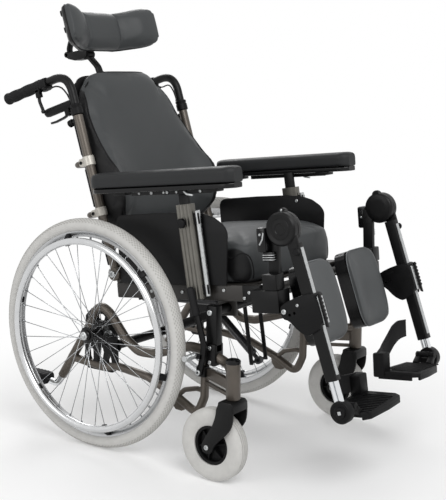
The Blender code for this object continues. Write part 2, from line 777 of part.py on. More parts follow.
def brake_lever():
    """Flat lever on its pivot, with the shoe across the tyre and the handle sleeve."""
    x_in, x_out = BRAKE_X
    path = [(BRAKE_Y, BRAKE_Z - 0.006), (-0.340, 0.285), (-0.345, 0.320), (-0.330, 0.372), (-0.318, 0.405)]
    front = min(-0.342, SHOE_Y - 0.002)
    middle = (x_in + x_out) / 2
    shapes = [
        strip(path, 0.016, x_in, x_out),
        block((x_in, front, SHOE_Z - 0.007), (x_out, max(SHOE_Y, BRAKE_Y) + 0.002, SHOE_Z + 0.007)),
        rod((x_in + 0.002, SHOE_Y, SHOE_Z), (WHEEL_X + 0.0152, SHOE_Y, SHOE_Z), SHOE_R),
        pipe(at(middle, [(-0.322, 0.392), (-0.303, 0.456)]), 0.0105),
        turned([(0.0105, 0), (0.0070, 0.006)], (middle, -0.303, 0.456), (0, 0.285, 0.959), 8),
    ]
    hole = bore((x_in - 0.01, BRAKE_Y, BRAKE_Z), (x_out + 0.01, BRAKE_Y, BRAKE_Z), BRAKE_PIN_R + GAP)
    return joined(shapes, [hole])


def tipping_lever():
    """Bent tube in the rear end of the side tube, with the foot pedal."""
    start = Vector((0, 0.168, 0.151))
    way = (Vector((0, 0.168, 0.151)) - Vector((0, 0.052, 0.322))).normalized()
    first = start + way * GAP
    path = at(FRAME_X, [(first.y, first.z), (0.187, 0.1235), (0.235, 0.1290), (0.300, 0.1320)])
    pedal = soft_block((3, 6, 3), tread)
    return joined([pipe(path, 0.0095, bend=0.02, steps=3), pedal])


def tread(u, v, w):
    """The pedal's rounded rubber block."""
    x, z = rounded(u, w, 4)
    y = v * 0.045
    slim = 1.0 - 0.12 * abs(v) ** 4
    return (FRAME_X + x * 0.022 * slim, 0.2650 + y, 0.1325 + z * 0.017 * slim)


def seat_frame():
    """Rails, pan, cross bars, pivot lugs, hinge plates, post brackets and legrest receivers."""
    x0, x1 = SEAT_RAIL_X
    z0, z1 = SEAT_RAIL_Z
    y0, y1 = SEAT_RAIL_Y
    shapes = [block((-x0 - 0.002, CUSHION_Y[0], 0.058), (x0 + 0.002, CUSHION_Y[1] - 0.004, z1))]
    cuts = [bore((-x1 - 0.01, 0, 0), (x1 + 0.01, 0, 0), TUBE_R + GAP, sides=12)]
    low, high = (-RECLINE_X - 0.022, CUSHION_Y[1] - 0.040, 0.050), (-RECLINE_X + 0.022, CUSHION_Y[1], 0.070)
    cuts.append(block(low, high))
    for bar_y in (y0 + 0.015, y1 - 0.090):
        shapes.append(rod((-x0 - 0.004, bar_y, 0.045), (x0 + 0.004, bar_y, 0.045), 0.010))
    for _, side in SIDES:
        shapes.append(boxed(side, (x0, y0, z0), (x1, y1, z1)))
        shapes.append(boxed(side, (x0 + 0.001, SWING_Y - 0.019, 0.004), (SWING_X + 0.0137, -0.130, 0.0595)))
        shapes.append(boxed(side, (x0 - 0.040, -0.022, -0.022), (x0 - 0.028, 0.022, 0.060)))
        outer = (POST_X[0] - GAP, POST_Y + 0.014, 0.058)
        shapes.append(boxed(side, (x0 + 0.002, POST_Y - 0.020, 0.034), outer))
        low, high = sorted((side * (x0 + 0.003), side * (BACK_X - TUBE_R - GAP)))
        upright = [(HINGE_Y - 0.020, 0.040), (HINGE_Y - 0.018, HINGE_Z), (HINGE_Y - 0.008, HINGE_Z + 0.016)]
        upright += [(HINGE_Y + 0.008, HINGE_Z + 0.016), (HINGE_Y + 0.018, HINGE_Z), (HINGE_Y + 0.005, 0.030)]
        shapes.append(plate(upright, low, high))
        tip = side * (BACK_X + TUBE_R + 0.0012)
        shapes.append(rod((side * (x0 + 0.005), HINGE_Y, HINGE_Z), (tip, HINGE_Y, HINGE_Z), HINGE_PIN_R))
        shapes.append(disc((tip + side * 0.001, HINGE_Y, HINGE_Z), (1, 0, 0), 0.0100, 0.0018, steps=8))
        x = side * SWING_X
        cuts.append(bore((x, SWING_Y, -0.02), (x, SWING_Y, 0.08), SWING_PIN_R + GAP, sides=10))
    for x, (y, z) in ((TILT_X, SPRING_B), (-RECLINE_X, SPRING_C)):
        reach = SPRING_EYE_HALF + SPRING_EAR + 0.0055
        for offset in (-reach, reach):
            ear = [(y - 0.014, 0.060), (y - 0.010, z - 0.006), (y + 0.010, z - 0.006), (y + 0.014, 0.060)]
            shapes.append(plate(ear, x + offset - SPRING_EAR / 2, x + offset + SPRING_EAR / 2))
        shapes.append(rod((x - reach - 0.0005, y, z), (x + reach + 0.0005, y, z), SPRING_PIN_R, sides=8))
    return joined(shapes, cuts)


def boxed(side, low, high):
    """A box on the left side, or its mirror on the right."""
    if side > 0:
        return block(low, high)
    return block((-high[0], low[1], low[2]), (-low[0], high[1], high[2]))


def gas_spring(name, x, holder, start, other, end, body_share, reach, travel):
    """Cylinder and rod between two eyes. The cylinder's frame has its Y along the spring."""
    bpy.context.view_layer.update()
    first = Vector((x, *start))
    last = holder.matrix_world.inverted() @ (other.matrix_world @ Vector((x, *end)))
    length = (last - first).length
    turn = math.atan2(last.z - first.z, last.y - first.y)
    axis = frame(name + "_frame", holder, first, turn)
    body = length * body_share
    shell = joined(
        [
            disc((0, 0, 0), (1, 0, 0), SPRING_EYE_R, SPRING_EYE_HALF),
            rod((0, 0.006, 0), (0, 0.022, 0), 0.0060),
            turned([(0.008, 0.020), (SPRING_R, 0.024), (SPRING_R, body)], (0, 0, 0), (0, 1, 0), 12),
        ],
        [
            bore((-0.02, 0, 0), (0.02, 0, 0), SPRING_PIN_R + GAP),
            bore((0, body - reach - travel, 0), (0, body + 0.01, 0), SPRING_ROD_R + GAP),
        ],
    )
    inner = joined(
        [
            rod((0, body - reach, 0), (0, length - 0.012, 0), SPRING_ROD_R),
            disc((0, length, 0), (1, 0, 0), 0.0155, SPRING_EYE_HALF, steps=10),
        ],
        [disc((0, length, 0), (1, 0, 0), 0.0110, 0.0200, steps=10)],
    )
    piece(name + "_cylinder", shell, "spring_grey", axis)
    piece(name + "_rod", inner, "chrome", axis)


def seat_cushion():
    """Cushion with a domed top, a waterfall front edge and drawn-in sides."""
    middle_y = (CUSHION_Y[0] + CUSHION_Y[1]) / 2
    half_y = (CUSHION_Y[1] - CUSHION_Y[0]) / 2
    low, high = CUSHION_Z

    def place(u, v, w):
        a, b = rounded(u, v, 9)
        inset = 1 - 0.025 * max(0, abs(w) - 0.55) / 0.45
        x = a * CUSHION_X * (inset - 0.012 * (1 - abs(w)))
        y = middle_y + b * half_y * inset
        crown = 0.010 * (1 - u * u) * (1 - v * v)
        front = 0.034 * max(0.0, -v - 0.45) ** 2 / 0.30
        top = high - 0.010 + crown - front - 0.006 * abs(u) ** 8 - 0.006 * max(0, v) ** 8
        return (x, y, low + (top - low) * (w + 1) / 2)

    return soft_block((8, 8, 3), place)


def side_panel():
    """Clothing guard with a slanted front corner and a round hole plate near its top."""
    outline = [(-0.044, 0.0655), (-0.048, 0.150), (-0.052, 0.192), (-0.044, 0.207), (0.0105, 0.238)]
    outline += [(0.024, 0.242), (0.282, 0.242), (0.2945, 0.230), (0.2945, 0.0655)]
    return plate(outline, POST_X[0] - 0.0050, POST_X[0] - GAP)


def armrest_post():
    """Ribbed upright with a slot for the carrier's tongue and a guide rod on its front edge."""
    x0, x1 = POST_X
    z0, z1 = 0.0, POST_Z[1] - POST_Z[0]
    half = POST_HALF_Y
    outline = [(x0, -half), (x0, half), (x1, half)]
    for k in range(4):
        y = 0.0170 - k * 0.0113
        outline += [(x1, y), (x1 - 0.0018, y - 0.0028), (x1, y - 0.0056)]
    outline += [(x1, -half)]
    guide_y = -half - 0.0110
    middle = (x0 + x1) / 2
    shapes = [
        plate(outline, z0, z1, axis=2),
        rod((middle, guide_y, z0 + 0.005), (middle, guide_y, z1 - 0.018), 0.0068),
        block((middle - 0.006, guide_y - 0.006, z0 + 0.010), (middle + 0.006, -0.020, z0 + 0.034)),
        block((middle - 0.006, guide_y - 0.006, z1 - 0.052), (middle + 0.006, -0.020, z1 - 0.024)),
    ]
    slot = block((x0 + 0.0045, -0.0150, z0 + 0.030), (x1 - 0.0055, 0.0150, z1 + 0.01))
    return joined(shapes, [slot])


def armrest_carrier():
    """Tongue in the post with the rail under the pad, in the post's frame."""
    x0, x1 = POST_X
    top = POST_Z[1] - POST_Z[0]
    rail_low, rail_high = PAD_TOP - PAD_HIGH - 0.020, PAD_TOP - PAD_HIGH - GAP
    shapes = [
        block(
            (x0 + 0.0045 + GAP, -0.0150 + GAP, top - 0.120),
            (x1 - 0.0055 - GAP, 0.0150 - GAP, rail_low - POST_Z[0] + 0.004),
        )
    ]
    inner = PAD_X - 0.0335
    rail = [block((inner, PAD_Y[0] + 0.020, rail_low), (PAD_X + 0.0240, PAD_Y[1] - 0.020, rail_high))]
    for y in (-0.070, 0.215):
        outer = (PAD_X + 0.0040, y + 0.040, rail_low + 0.004)
        rail.append(block((inner + 0.0055, y, rail_low - 0.008), outer))
    for mesh in rail:
        mesh.transform(Matrix.Translation((0, -POST_Y, -POST_Z[0])))
        mesh.transform(Matrix.Rotation(-POST_LEAN, 4, "X"))
    return joined(shapes + rail)


def armrest_pad():
    """Arm pad with rounded ends and a domed top, in the seat frame."""
    middle_y = (PAD_Y[0] + PAD_Y[1]) / 2
    half_y = (PAD_Y[1] - PAD_Y[0]) / 2
    low, high = PAD_TOP - PAD_HIGH, PAD_TOP

    def place(u, v, w):
        end = max(0.0, abs(v) - 0.86) / 0.14
        wide = math.sqrt(max(0.0, 1 - 0.72 * end**2))
        x = PAD_X + u * PAD_WIDE / 2 * wide * (1 - 0.10 * max(0, w) ** 2)
        top = high - 0.006 * u**4 - 0.008 * end**2
        bottom = low + 0.006 * end**2
        return (x, middle_y + v * half_y, bottom + (top - bottom) * (w + 1) / 2)

    return soft_block((3, 11, 2), place)


def armrest_knob():
    """Clamp knob with its screw, in the post's frame."""
    z = 0.190
    screw = rod((POST_X[1] + GAP, 0.004, z), (POST_X[1] + 0.008, 0.004, z), 0.0035)
    lobes = turned(
        [(0.007, 0), (0.013, 0.002), (0.013, 0.009), (0.009, 0.012)], (POST_X[1] + 0.004, 0.004, z), (1, 0, 0), 10
    )
    return joined([screw, lobes])


def back_frame():
    """Upright tubes with hinge eyes, cross bars, clamps and the arm for the recline spring."""
    shapes = []
    cuts = []
    for _, side in SIDES:
        x = side * BACK_X
        shapes.append(rod((x, 0, -0.004), (x, 0, BACK_HIGH), TUBE_R))
        shapes.append(disc((x, 0, 0), (1, 0, 0), 0.0190, TUBE_R, steps=10))
        for low, high in ((0.155, 0.180), (0.290, 0.320)):
            inner, outer = sorted((side * (BACK_X - 0.0120), side * (BACK_X + 0.0165)))
            shapes.append(block((inner, -0.0165, low), (outer, 0.0300, high)))
        cuts.append(bore((x - 0.03, 0, 0), (x + 0.03, 0, 0), HINGE_PIN_R + GAP))
    x = BACK_X
    for z in (0.1675, 0.305):
        path = [(-x, 0, z), (-x, BAR_Y, z), (x, BAR_Y, z), (x, 0, z)]
        shapes.append(pipe(path, BAR_R, bend=0.02, sides=6, steps=2))
    arm_x = -RECLINE_X
    reach = SPRING_EYE_HALF + SPRING_EAR / 2 + 0.0060
    arm = [(-x, 0, 0.030), (-x + 0.02, 0.020, 0.022), (arm_x - reach, 0.020, 0.022)]
    shapes.append(pipe(arm, 0.009, bend=0.02, steps=2))
    for offset in (-reach, reach):
        low = arm_x + offset - SPRING_EAR / 2
        arm = [(0.008, 0.034), (SPRING_D[0] - 0.011, SPRING_D[1] - 0.009)]
        arm += [(SPRING_D[0] + 0.011, SPRING_D[1] - 0.009), (0.032, 0.034)]
        shapes.append(plate(arm, low, low + SPRING_EAR))
    shapes.append(rod((arm_x - 0.018, 0.020, 0.022), (arm_x + 0.018, 0.020, 0.022), 0.009))
    shapes.append(rod((arm_x - 0.018, *SPRING_D), (arm_x + 0.018, *SPRING_D), SPRING_PIN_R))
    half_x, half_y = MAST_HALF
    rear = MAST_Y + half_y + 0.007
    shapes.append(block((-0.030, BAR_Y - 0.0023, 0.289), (0.030, rear, 0.321)))
    shapes.append(block((-half_x - 0.010, MAST_Y - half_y - 0.007, 0.300), (half_x + 0.010, rear, 0.420)))
    low, high = (-half_x - GAP, MAST_Y - half_y - GAP, 0.28), (half_x + GAP, MAST_Y + half_y + GAP, 0.44)
    cuts.append(block(low, high))
    return joined(shapes, cuts)


def push_handle(right):
    """Handle tube above the back tube with its collar, and on the right the lower release grip."""
    z0, z1 = BACK_HIGH + GAP, HANDLE_Z
    path = [(BACK_X, 0, z0), (BACK_X, 0, z1), (BACK_X, GRIP_Y[1] - 0.004, z1)]
    shapes = [
        pipe(path, HANDLE_R, bend=0.075),
        rod((BACK_X, 0, z0), (BACK_X, 0, 0.4600), 0.0165),
        block((BACK_X - 0.014, 0.076, z1 - 0.022), (BACK_X + 0.016, GRIP_Y[0] - 0.0005, z1 + 0.014)),
        block((BACK_X + 0.0125, 0.094, z1 - 0.0225), (LEVER_X + 0.0065, 0.110, z1 - 0.0120)),
        rod((LEVER_X - 0.005, LEVER_Y, LEVER_Z), (LEVER_X + 0.005, LEVER_Y, LEVER_Z), LEVER_PIN_R, sides=6),
    ]
    for side in (-1, 1):
        low, high = sorted((LEVER_X + side * 0.0040, LEVER_X + side * 0.0065))
        shapes.append(block((low, 0.0945, LEVER_Z - 0.006), (high, 0.1095, z1 - 0.015)))
    if right:
        shapes.append(rod((BACK_X, 0.010, 0.464), (BACK_X, 0.112, 0.464), 0.0120))
        shapes.append(rod((BACK_X, 0, 0.452), (BACK_X, 0, 0.478), 0.0165))
        pivot_y, pivot_z = RELEASE_PIVOT
        for side in (-1, 1):
            low, high = sorted((BACK_X + side * 0.0055, BACK_X + side * 0.0080))
            shapes.append(block((low, pivot_y - 0.008, pivot_z - 0.006), (high, pivot_y + 0.008, 0.458)))
        low, high = BACK_X - 0.006, BACK_X + 0.006
        shapes.append(rod((low, pivot_y, pivot_z), (high, pivot_y, pivot_z), LEVER_PIN_R, sides=6))
    return joined(shapes)


def push_grip():
    """Grip sleeve with two finger grooves and a closed end."""
    low, high = GRIP_Y
    profile = [(0.0135, low), (0.0155, low + 0.003)]
    for start in (low + 0.040, low + 0.092):
        profile += [(0.0158, start), (0.0146, start + 0.006), (0.0158, start + 0.012)]
    profile += [(0.0165, high - 0.005), (0.0135, high)]
    shape = turned(profile, (BACK_X, 0, HANDLE_Z), (0, 1, 0), 10)
    hole = bore((BACK_X, low - 0.01, HANDLE_Z), (BACK_X, high - 0.0035, HANDLE_Z), HANDLE_R + GAP)
    return joined([shape], [hole])


def hand_lever():
    """Short lever that hangs below the push grip's clamp, with a ball end."""
    x = LEVER_X
    path = [(LEVER_Y, LEVER_Z), (LEVER_Y + 0.004, LEVER_Z - 0.014), (LEVER_Y - 0.001, LEVER_Z - 0.040)]
    lever = strip(path, 0.0080, x - 0.0035, x + 0.0035)
    eye = disc((x, LEVER_Y, LEVER_Z), (1, 0, 0), 0.0060, 0.0035, steps=8)
    end = (x, LEVER_Y - 0.001, LEVER_Z - 0.044)
    ball = turned([(0.004, -0.006), (0.0065, 0), (0.004, 0.006)], end, (0, 0, 1), 8)
    hole = bore((x - 0.02, LEVER_Y, LEVER_Z), (x + 0.02, LEVER_Y, LEVER_Z), LEVER_PIN_R + GAP, sides=6)
    return joined([lever, eye, ball], [hole])


def release_lever():
    """Small squeeze lever below the release grip, with the eye that hangs on its pin."""
    x = BACK_X
    pivot_y, pivot_z = RELEASE_PIVOT
    path = [RELEASE_PIVOT, (pivot_y + 0.018, pivot_z - 0.0060), (pivot_y + 0.050, pivot_z - 0.0085)]
    path += [(pivot_y + 0.070, pivot_z - 0.0075)]
    eye = disc((x, pivot_y, pivot_z), (1, 0, 0), 0.0055, 0.0050, steps=8)
    hole = bore((x - 0.02, pivot_y, pivot_z), (x + 0.02, pivot_y, pivot_z), LEVER_PIN_R + GAP, sides=6)
    return joined([strip(path, 0.0060, x - 0.0045, x + 0.0045), eye], [hole])


def back_shell():
    """Thin curved shell behind the back cushion."""

    def place(u, v, w):
        a, b = rounded(u, w, 8)
        x = a * (SHELL_HALF - 0.030 * max(0, w - 0.4) ** 2 / 0.36)
        y = SHELL_REAR + (v - 1) * SHELL_THICK / 2
        return (x, y, SHELL_MIDDLE + b * SHELL_HIGH / 2)

    return soft_block((5, 1, 5), place)


def back_cushion():
    """Back cushion with deep side bolsters low down, rounded shoulders and a seam across."""

    def place(u, v, w):
        a, b = rounded(u, w, 5)
        shoulder = max(0.0, w - 0.15) / 0.85
        half = BACK_HALF - 0.038 * shoulder**1.6
        x = a * half * (1 - 0.020 * (1 - v) / 2)
        z = BACK_MIDDLE + b * BACK_PAD_HIGH / 2
        low = min(1.0, max(0.0, (0.43 - z) / 0.10))
        swell = 0.022 * low + 0.062 * math.exp(-(((z - 0.230) / 0.090) ** 2))
        bolster = abs(u) ** 3 * swell
        crown = 0.006 * (1 - u * u) * (1 - w * w)
        round_off = 0.022 * abs(w) ** 10 + 0.012 * abs(u) ** 14 + 0.016 * abs(u) ** 4 * shoulder
        seam = 0.004 * math.exp(-(((z - 0.215) / 0.008) ** 2))
        front = -0.016 - bolster - crown + round_off + seam
        rear = SHELL_REAR - SHELL_THICK - GAP - 0.006 * max(abs(u), abs(w)) ** 10
        return (x, front + (rear - front) * (v + 1) / 2, z)

    return soft_block((10, 2, 11), place)


def headrest_mast():
    """Flat stem with a cranked link and the arm that ends at the pad's hinge."""
    half_x, half_y = MAST_HALF
    y, z = HEAD_HINGE
    rear = y + 0.064
    crank = [(0, *LINK), (0, rear + 0.001, z - 0.0480), (0, rear, z + 0.0105)]
    shapes = [
        block((-half_x, MAST_Y - half_y, 0.316), (half_x, MAST_Y + half_y, 0.575)),
        pipe([(0, MAST_Y, 0.566), (0, *LINK)], 0.0095, sides=8),
        disc((0, *LINK), (1, 0, 0), 0.0150, 0.0100, steps=12),
        pipe(crank, 0.0080, bend=0.018, sides=6, steps=2),
        pipe([(0, rear, z + 0.002), (0, y + 0.013, z)], 0.0080, sides=6),
        block((-0.0050, y - 0.0030, z - 0.0090), (0.0050, y + 0.0180, z + 0.0090)),
        disc((0, y, z), (1, 0, 0), 0.0100, 0.0050, steps=12),
        disc((0.0150, *LINK), (1, 0, 0), 0.0120, 0.0060, steps=8),
    ]
    hole = bore((-0.02, y, z), (0.02, y, z), HEAD_PIN_R + GAP)
    return joined(shapes, [hole])


def headrest_pad():
    """Winged headrest cushion with the clevis on its back."""

    def place(u, v, w):
        a, b = rounded(u, w, 9)
        x = a * HEAD_HALF
        z = HEAD_HINGE[1] - HEAD_DROP + b * HEAD_HIGH / 2
        wing = max(0.0, abs(x) - 0.070)
        lean = -0.66 * wing
        edge = max(abs(u), abs(w)) ** 8
        front = 0.040 + lean - 0.005 * (1 - w * w) + 0.010 * edge
        rear = 0.0940 + lean - 0.010 * wing - 0.012 * edge
        return (x, front + (rear - front) * (v + 1) / 2, z)

    y, z = HEAD_HINGE
    foot = block((-0.030, y - 0.0290, z - 0.022), (0.030, y - 0.0165, z + 0.022))
    shapes = [soft_block((10, 2, 4), place), foot]
    for side in (-1, 1):
        low, high = sorted((side * 0.0054, side * 0.0095))
        ear = [(y - 0.0190, z - 0.0110), (y + 0.0050, z - 0.0090), (y + 0.0090, z), (y + 0.0050, z + 0.0090)]
        ear.append((y - 0.0190, z + 0.0110))
        shapes.append(plate(ear, low, high))
    shapes.append(rod((-0.0080, y, z), (0.0080, y, z), HEAD_PIN_R, sides=6))
    return joined(shapes)


def legrest_hanger():
    """Pin, block and post with the inner half of the knee joint. In the seat frame."""
    x, y = SWING_X, SWING_Y
    z0 = 0.0595 + GAP
    inner = LEG_X - KNEE_HALF
    outer = LEG_X - GAP / 2
    top = KNEE_Z - 0.0031
    lug = (outer - 0.004, KNEE_Y + 0.014, KNEE_Z + KNEE_R + 0.004)
    post = [(y - 0.016, 0.090), (y - 0.022, top), (y + 0.006, top), (y + 0.013, 0.090)]
    shapes = [
        rod((x, y, 0.0080), (x, y, z0 + 0.01), SWING_PIN_R),
        block((x - 0.020, y - 0.0190, z0), (x + 0.018, y + 0.0210, 0.098)),
        plate(post, inner + 0.001, outer - 0.001),
        disc(((inner + outer) / 2, KNEE_Y, KNEE_Z), (1, 0, 0), KNEE_R, (outer - inner) / 2, steps=16),
        rod((LEG_X - 0.005, KNEE_Y, KNEE_Z), (LEG_X + KNEE_HALF + 0.0015, KNEE_Y, KNEE_Z), KNEE_PIN_R),
        disc((LEG_X + KNEE_HALF + 0.0018, KNEE_Y, KNEE_Z), (1, 0, 0), 0.0110, 0.0015, steps=8),
        block((inner + 0.004, KNEE_Y, KNEE_Z + 0.020), lug),
        block((LEG_X - 0.002, y - 0.0150, 0.120), (LEG_X + 0.0130, y + 0.0100, 0.155)),
    ]
    return joined(shapes)


def leg_tube():
    """Outer half of the knee joint with the leg's hollow tube. In the leg frame."""
    x0, x1 = LEG_X - LEG_HALF_X, LEG_X + LEG_HALF_X
    y0, y1 = LEG_Y - LEG_HALF_Y, LEG_Y + LEG_HALF_Y
    shapes = [
        disc((LEG_X + KNEE_HALF / 2 + 0.0001, 0, 0), (1, 0, 0), KNEE_R, KNEE_HALF / 2 - 0.0001, steps=16),
        block((x0, y0, LEG_END), (x1, y1, -KNEE_R - 0.001)),
        block((LEG_X + 0.0002, y0, -KNEE_R - 0.010), (x1, y1, -0.015)),
        block((x0 + 0.006, y0 - 0.0022, LEG_END + 0.012), (x1 - 0.006, y0 + 0.002, -KNEE_R - 0.012)),
    ]
    cuts = [
        bore((LEG_X - 0.04, 0, 0), (LEG_X + 0.03, 0, 0), KNEE_PIN_R + GAP),
        block((x0 + 0.0045, y0 + 0.0020, LEG_END - 0.01), (x1 - 0.0045, y1 - 0.0020, -0.190)),
    ]
    return joined(shapes, cuts)


def calf_bracket():
    """Housing clamped round the leg tube with the arm that reaches the calf pad."""
    x0, x1 = LEG_X - LEG_HALF_X - 0.0065, LEG_X + LEG_HALF_X + 0.0070
    front = LEG_Y - LEG_HALF_Y - 0.0100
    outer = [(front, -0.240), (front, -0.166), (front + 0.008, -0.158), (0.0020, -0.158)]
    outer += [(0.0460, -0.166), (0.0600, -0.178), (0.0580, -0.206), (0.0100, -0.236), (0.0, -0.240)]
    shapes = [
        plate(outer, x0, x1),
        block((LEG_X - 0.007, front - 0.0050, -0.232), (LEG_X + 0.007, front + 0.002, -0.172)),
        rod((CALF_END + GAP, 0.0480, -0.188), (x0 + 0.006, 0.0480, -0.188), 0.0080),
    ]
    hole = block(
        (LEG_X - LEG_HALF_X - GAP, LEG_Y - LEG_HALF_Y - 0.0022 - GAP, -0.30),
        (LEG_X + LEG_HALF_X + GAP, LEG_Y + LEG_HALF_Y + GAP, -0.10),
    )
    return joined(shapes, [hole])


def calf_pad():
    """Calf pad, domed on its front face. In the leg frame."""

    def place(u, v, w):
        a, b = rounded(u, w, 6)
        edge = max(abs(u), abs(w)) ** 8
        x = CALF_END + (a - 1) * CALF_WIDE / 2
        z = -0.188 + b * 0.100
        hollow = 0.010 * abs(u) ** 2
        front = 0.0260 - hollow - 0.004 * (1 - w * w) + 0.009 * edge
        rear = 0.0600 - hollow * 0.5 - 0.003 * edge
        return (x, front + (rear - front) * (v + 1) / 2, z)

    return soft_block((6, 2, 6), place)


def foot_tube(drop):
    """Pair of telescopic tubes with the footplate's hinge at their lower end. In the leg frame."""
    apart = FOOT_TUBE_R + 0.0002
    shapes = []
    for y in (LEG_Y - apart, LEG_Y + apart):
        shapes.append(rod((LEG_X, y, drop + 0.015), (LEG_X, y, -0.270), FOOT_TUBE_R))
    shapes.append(disc((sum(FOOT_DISC_X) / 2, LEG_Y, drop), (1, 0, 0), 0.0270, 0.0115, steps=14))
    shapes.append(disc((FOOT_DISC_X[1] + 0.001, LEG_Y, drop), (1, 0, 0), 0.0130, 0.0020, steps=8))
    boss = disc((FOOT_HINGE_X, 0, FOOT_HINGE_Z), (0, 1, 0), 0.0090, 0.0110, steps=8)
    low, high = (FOOT_HINGE_X + 0.002, -0.010, FOOT_HINGE_Z - 0.008), (FOOT_DISC_X[0] + 0.003, 0.010, FOOT_HINGE_Z + 0.008)
    web = block(low, high)
    hole = bore((FOOT_HINGE_X, -0.05, FOOT_HINGE_Z), (FOOT_HINGE_X, 0.05, FOOT_HINGE_Z), FOOT_PIN_R + GAP)
    for mesh in (boss, web, hole):
        mesh.transform(Matrix.Rotation(FOOT_LEAN - LEG_LEAN, 4, "X"))
        mesh.transform(Matrix.Translation((0, LEG_Y, drop)))
    return joined(shapes + [boss, web], [hole])


def footplate():
    """Footplate with its knuckles, pin, ribs, rim and heel support. In the foot frame, at the hinge."""
    x0, x1 = FOOT_HINGE_X - 0.1675, FOOT_HINGE_X - 0.0110
    bend = x0 + 0.068
    outline = [(x0 + 0.012, -0.058), (bend, -0.056), (x1 - 0.020, -0.046), (x1, -0.028)]
    outline += [(x1, 0.052), (x0 + 0.010, 0.062), (x0, 0.054), (x0, -0.040)]
    shapes = [plate(outline, -0.012, 0.0, axis=2)]
    shapes.append(block((x0, -0.040, -0.020), (x0 + 0.006, 0.054, -0.006)))
    rim = [(x0 + 0.012, -0.058), (bend, -0.056), (bend, -0.050), (x0 + 0.012, -0.052)]
    shapes.append(plate(rim, -0.020, -0.006, axis=2))
    for k in range(4):
        x = x0 + 0.042 + k * 0.026
        shapes.append(block((x, -0.046, -0.002), (x + 0.012, 0.046, 0.0022)))
    shapes.append(block((x0 - 0.004, 0.034, -0.016), (x0 + 0.034, 0.066, 0.046)))
    band = [(x0 + 0.012, 0.058, 0.003), (x0 + 0.060, 0.072, 0.006), (x0 + 0.092, 0.073, 0.022)]
    band += [(x0 + 0.118, 0.068, 0.050), (x0 + 0.138, 0.058, 0.070)]
    shapes.append(strap(band, 0.042, 0.005))
    for mesh in shapes:
        mesh.transform(Matrix.Translation((0, 0, -0.010 - FOOT_HINGE_Z)) @ Matrix.Translation((-FOOT_HINGE_X, 0, 0)))
        mesh.transform(Matrix.Rotation(FOOT_ROLL, 4, "Y"))
        mesh.transform(Matrix.Translation((FOOT_HINGE_X, 0, FOOT_HINGE_Z)))
    for y in (-0.0190, 0.0190):
        shapes.append(disc((FOOT_HINGE_X, y, FOOT_HINGE_Z), (0, 1, 0), 0.0090, 0.0070, steps=8))
        arm = [(x1 - 0.016, -0.0110), (x1 - 0.016, -0.0030), (FOOT_HINGE_X, FOOT_HINGE_Z + 0.004)]
        arm += [(FOOT_HINGE_X, FOOT_HINGE_Z - 0.007), (x1 - 0.002, -0.0150)]
        shapes.append(plate(arm, y - 0.007, y + 0.007, axis=1))
    hinge = (FOOT_HINGE_X, FOOT_HINGE_Z)
    shapes.append(rod((hinge[0], -0.024, hinge[1]), (hinge[0], 0.024, hinge[1]), FOOT_PIN_R))
    return joined(shapes)


def build_chassis(chair):
    for name, side in SIDES:
        axle = (0, 0, AXLE_Z)
        castor = (CASTOR_X, CASTOR_Y, 0)
        wheel = (CASTOR_X, CASTOR_Y + CASTOR_TRAIL, CASTOR_R)
        piece(f"side_frame_{name}", side_frame(), "frame_taupe", chair, side=side)
        piece(f"rear_axle_{name}", rear_axle(), "rim_silver", chair, axle, side)
        piece(f"rear_wheel_{name}", rear_wheel(), "rim_silver", chair, (WHEEL_X, 0, AXLE_Z), side)
        piece(f"rear_tyre_{name}", rear_tyre(), "tyre_grey", chair, (WHEEL_X, 0, AXLE_Z), side)
        piece(f"handrim_{name}", handrim(), "handrim_silver", chair, (WHEEL_X, 0, AXLE_Z), side)
        piece(f"castor_fork_{name}", castor_fork(), "black_metal", chair, castor, side)
        piece(f"castor_tyre_{name}", castor_tyre(), "tyre_grey", chair, wheel, side)
        piece(f"castor_hub_{name}", castor_hub(), "black_plastic", chair, wheel, side)
        brake = (BRAKE_X[0], BRAKE_Y, BRAKE_Z)
        piece(f"parking_brake_lever_{name}", brake_lever(), "black_metal", chair, brake, side)
    piece("cross_frame", cross_frame(), "black_metal", chair)
    piece("tipping_lever_right", tipping_lever(), "chrome", chair, side=-1)


def build_seat(seat):
    piece("seat_frame", seat_frame(), "rail_taupe", seat)
    piece("seat_cushion", seat_cushion(), "vinyl", seat)
    for name, side in SIDES:
        piece(f"side_panel_{name}", side_panel(), "black_plastic", seat, side=side)
        post = frame(f"post_frame_{name}", seat, (0, POST_Y, POST_Z[0]), POST_LEAN)
        piece(f"armrest_post_{name}", armrest_post(), "post_grey", post, side=side)
        piece(f"armrest_carrier_{name}", armrest_carrier(), "black_metal", post, side=side)
        piece(f"armrest_knob_{name}", armrest_knob(), "black_plastic", post, (POST_X[1], 0.004, 0.190), side)
        piece(f"armrest_pad_{name}", armrest_pad(), "pad_vinyl", seat, side=side)


def build_back(back):
    piece("back_frame", back_frame(), "frame_taupe", back)
    piece("back_shell", back_shell(), "black_plastic", back)
    piece("back_cushion", back_cushion(), "vinyl", back)
    piece("headrest_mast", headrest_mast(), "black_metal", back, (0, MAST_Y, 0.40))
    piece("headrest_pad", headrest_pad(), "vinyl", back, (0, *HEAD_HINGE))
    for name, side in SIDES:
        piece(f"push_handle_{name}", push_handle(side < 0), "black_metal", back, side=side)
        piece(f"push_grip_{name}", push_grip(), "grip_rubber", back, (BACK_X, 0.18, HANDLE_Z), side)
        piece(f"hand_lever_{name}", hand_lever(), "black_plastic", back, (LEVER_X, LEVER_Y, LEVER_Z), side)
    piece("release_lever_right", release_lever(), "black_plastic", back, (BACK_X, *RELEASE_PIVOT), -1)


